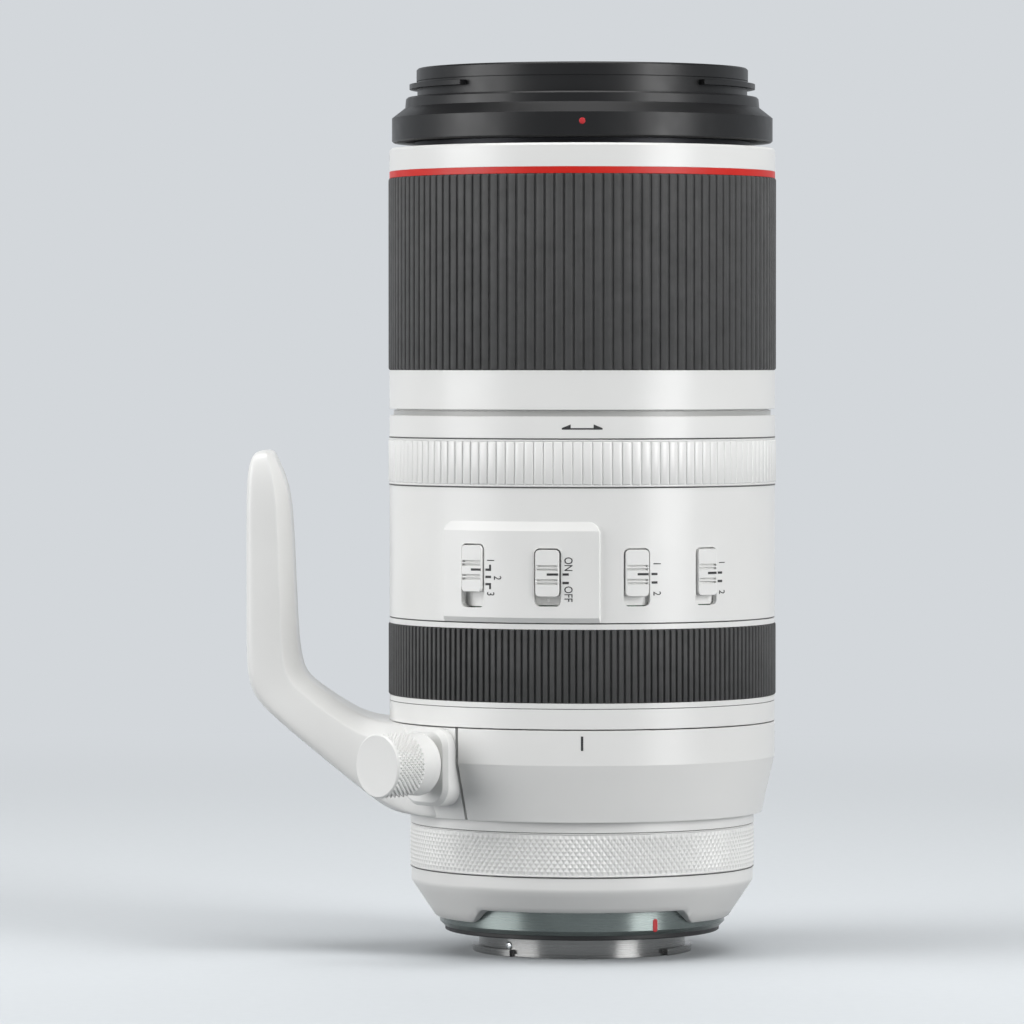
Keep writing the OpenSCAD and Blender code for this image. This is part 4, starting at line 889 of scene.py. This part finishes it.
def threadRidge(spec, place):
    # points and faces of a ridge that winds from low to high inside a bore and fades out at both ends
    length, count = spec["high"] - spec["low"], spec["columns"]
    steps = int(length / spec["pitch"] * spec["rowsPerTurn"])
    rows = [(spec["low"], None)]
    for i in range(steps + 1):
        rows.append((spec["low"] + length * i / steps, min(1.0, i / spec["fadeRows"], (steps - i) / spec["fadeRows"])))
    rows.append((spec["high"], None))
    verts = []
    for along, fade in rows:
        for k in range(count):
            phase = (along / spec["pitch"] + k / count) % 1.0
            rise = 0 if fade is None else spec["lift"] + spec["depth"] * fade * (1 - abs(2 * phase - 1))
            verts.append(place(spec["radius"] - rise, k / count, along))
    return verts, gridFaces(len(rows), count, True, True)


# Coarse tripod thread in the bush, measured from the sole
bushThreadSpec = {"radius": 2.6, "low": 0.7, "high": 7.6, "pitch": 1.27, "depth": 0.42, "lift": 0.05, "rowsPerTurn": 8,
                  "fadeRows": 4, "columns": 48}


def bushThread():
    low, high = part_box("foot_bush")

    def place(r, turn, along):
        a = 2 * math.pi * turn
        return low.x + along * mm, r * mm * math.cos(a), (low.z + high.z) / 2 + r * mm * math.sin(a)

    verts, faces = threadRidge(bushThreadSpec, place)
    buildPiece("bushThread", verts, faces, "collar", "polished_steel", sharp=60)


tripodFoot()
bushThread()
print("tripod foot: done")


# Filter thread: a fine helix inside the front lip
filterThreadSpec = {"radius": 38.26, "low": 201.9, "high": 206.7, "pitch": 0.75, "depth": 0.4, "lift": 0.06,
                    "rowsPerTurn": 8, "fadeRows": 4, "columns": 144}


def filterThread():
    verts, faces = threadRidge(filterThreadSpec, lambda r, turn, z: at(r, 360 * turn, z))
    buildPiece("filterThread", verts, faces, "front_barrel", "black_nose", sharp=60)


# Front retainer: a stepped light trap between the thread and the glass
retainerSpec = {"inner": 34.94, "outer": 36.94, "low": 195.06, "top": 200.8, "lip": 1.2, "outerLip": 0.6, "steps": 7,
                "tread": 0.08, "columns": 192}


def lightTrap():
    inner, outer = retainerSpec["inner"], retainerSpec["outer"]
    low, top = retainerSpec["low"], retainerSpec["top"]
    stepOuter, stepLow = outer - retainerSpec["outerLip"], low + retainerSpec["lip"]
    outline = [(inner, low), (outer, low), (outer, top), (stepOuter, top)]
    for k in range(retainerSpec["steps"]):
        share = (k + 1) / retainerSpec["steps"]
        z = top + (stepLow - top) * share
        outline.append((outline[-1][0], z + retainerSpec["tread"]))
        outline.append((stepOuter + (inner - stepOuter) * share, z))
    piece = turnedPiece("frontRetainerStepped", outline, retainerSpec["columns"], "front_barrel", "black_nose")
    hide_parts("front_retainer")


filterThread()
lightTrap()
print("front end: done")


# Mount screws: four cross-head screws on the flange face
screwSpec = {"circle": 29.4, "radius": 1.35, "rise": 0.12, "dome": 1.2, "sink": 0.05, "slot": 0.26, "slotReach": 0.85,
             "slotDepth": 0.35, "angles": (22, 112, 202, 292), "columns": 48,
             "rings": (1.0, 1.0, 0.92, 0.72, 0.55, 0.4, 0.28, 0.15)}


def mountScrews():
    count, rings = screwSpec["columns"], screwSpec["rings"]
    for n, angle in enumerate(screwSpec["angles"]):
        centre = at(screwSpec["circle"], angle, 0)
        verts = []
        for i, share in enumerate(rings):
            for k in range(count):
                a = 2 * math.pi * k / count
                x, y = math.cos(a) * share * screwSpec["radius"], math.sin(a) * share * screwSpec["radius"]
                inSlot = min(abs(x), abs(y)) < screwSpec["slot"] and max(abs(x), abs(y)) < screwSpec["slotReach"]
                head = (screwSpec["slotDepth"] if inSlot else 0) - screwSpec["rise"] * (screwSpec["dome"] - share)
                verts.append(centre + Vector((x, y, screwSpec["sink"] if i == 0 else head)) * mm)
        buildPiece("mountScrew%d" % n, verts, cappedFaces(len(rings), count), "main_barrel", "polished_steel", sharp=25)


mountScrews()
print("mount: done")


# Round cove of pale paper: a floor under the lens and a wall all round it, in metres
sweepSpec = {"floor": 2.2, "floorRows": 4, "bend": 0.8, "bendRows": 12, "wall": 1.7, "columns": 96, "drop": 0.00005,
             "litTo": 0.4, "evenFrom": 0.9, "paper": ("#c9cdd0", "#cdd1d4"), "bounce": "#6e7174", "even": "#d3d7db"}


def paperSweep():
    floorZ, count = cadLow.z - sweepSpec["drop"], sweepSpec["columns"]
    line = [(sweepSpec["floor"] * (k + 1) / sweepSpec["floorRows"], floorZ) for k in range(sweepSpec["floorRows"])]
    for k in range(sweepSpec["bendRows"]):
        a = math.pi / 2 * (k + 1) / sweepSpec["bendRows"]
        line.append((sweepSpec["floor"] + sweepSpec["bend"] * math.sin(a),
                     floorZ + sweepSpec["bend"] * (1 - math.cos(a))))
    line.append((sweepSpec["floor"] + sweepSpec["bend"], floorZ + sweepSpec["wall"]))
    verts = [(r * math.cos(2 * math.pi * j / count), r * math.sin(2 * math.pi * j / count), z)
             for r, z in line for j in range(count)]
    mesh = bpy.data.meshes.new("paperSweep")
    rings = [face[::-1] for face in gridFaces(len(line), count, False, True)]
    mesh.from_pydata(verts, [], rings + [list(range(count))])
    for face in mesh.polygons:
        face.use_smooth = True
    material, tree, shader, where = startMaterial("seamlessPaper", {"IOR": 1.45, "Specular IOR Level": 0.0,
                                                                    "Emission Color": linear(sweepSpec["even"])})
    fibres = addNode(tree, "ShaderNodeTexNoise", {"Scale": perMm(3), "Detail": 4.0}, {"Vector": where})
    seen = addNode(tree, "ShaderNodeLightPath")
    pale = addNode(tree, "ShaderNodeMix", {"data_type": "RGBA", 6: linear(sweepSpec["paper"][0]),
                                           7: linear(sweepSpec["paper"][1])}, {0: fibres.outputs["Fac"]})
    # camera, metal and glass see pale paper, while less light is thrown back on the lens from below
    mirrored = addNode(tree, "ShaderNodeMath", {"operation": "MAXIMUM"},
                       {0: seen.outputs["Is Glossy Ray"], 1: seen.outputs["Is Transmission Ray"]})
    shown = addNode(tree, "ShaderNodeMath", {"operation": "MAXIMUM"},
                    {0: seen.outputs["Is Camera Ray"], 1: mirrored.outputs["Value"]})
    # lit paper with its shadow near the lens turns into an even pale cove further out
    reach = addNode(tree, "ShaderNodeVectorMath", {"operation": "LENGTH"}, {0: where})
    far = addNode(tree, "ShaderNodeMapRange", {"interpolation_type": "SMOOTHSTEP", "From Min": sweepSpec["litTo"],
                                               "From Max": sweepSpec["evenFrom"]}, {"Value": reach.outputs["Value"]})
    even = addNode(tree, "ShaderNodeMath", {"operation": "MULTIPLY"},
                   {0: far.outputs["Result"], 1: shown.outputs["Value"]})
    lit = addNode(tree, "ShaderNodeMix", {"data_type": "RGBA", 6: linear(sweepSpec["bounce"])},
                  {0: shown.outputs["Value"], 7: pale.outputs[2]})
    shade = addNode(tree, "ShaderNodeMix", {"data_type": "RGBA", 7: (0, 0, 0, 1)},
                    {0: even.outputs["Value"], 6: lit.outputs[2]})
    tree.links.new(shade.outputs[2], shader.inputs["Base Color"])
    tree.links.new(even.outputs["Value"], shader.inputs["Emission Strength"])
    roughBetween(tree, shader, where, low=0.85, high=0.95, size=4)
    mesh.materials.append(material)
    sweep = bpy.data.objects.new("paperSweep", mesh)
    bpy.context.scene.collection.objects.link(sweep)


paperSweep()

# Two tall soft boxes beside the camera, one overhead, one for the back and an even pale room
lightSpec = {
    "leftBox": {"place": (-1.36, -0.50, 0.30), "aim": (0, 0, 0.1), "size": (1.00, 1.5), "power": 26.0},
    "rightBox": {"place": (1.12, -0.88, 0.30), "aim": (0, 0, 0.1), "size": (0.60, 1.5), "power": 24.5},
    "topBox": {"place": (0.0, -0.12, 1.45), "aim": (0, 0, 0.1), "size": (1.4, 0.7), "power": 14.5},
    "rearBox": {"place": (0.15, 1.75, 0.95), "aim": (0, 0, 0.1), "size": (1.6, 0.8), "power": 13.0, "mirrored": False},
}
for name, spec in lightSpec.items():
    lamp = bpy.data.lights.new(name, "AREA")
    lamp.shape = "RECTANGLE"
    lamp.size, lamp.size_y = spec["size"]
    lamp.energy = spec["power"]
    box = bpy.data.objects.new(name, lamp)
    box.visible_camera = False
    box.visible_glossy = spec.get("mirrored", True)
    box.location = spec["place"]
    box.rotation_euler = (Vector(spec["aim"]) - Vector(spec["place"])).to_track_quat("-Z", "Y").to_euler()
    bpy.context.scene.collection.objects.link(box)

roomSpec = {"Color": linear("#dfe2e5"), "Strength": 0.15}
room = bpy.data.worlds.new("paleRoom")
room.use_nodes = True
for key, value in roomSpec.items():
    room.node_tree.nodes["Background"].inputs[key].default_value = value
bpy.context.scene.world = room
print("stage and lights: done")

bpy.context.view_layer.update()
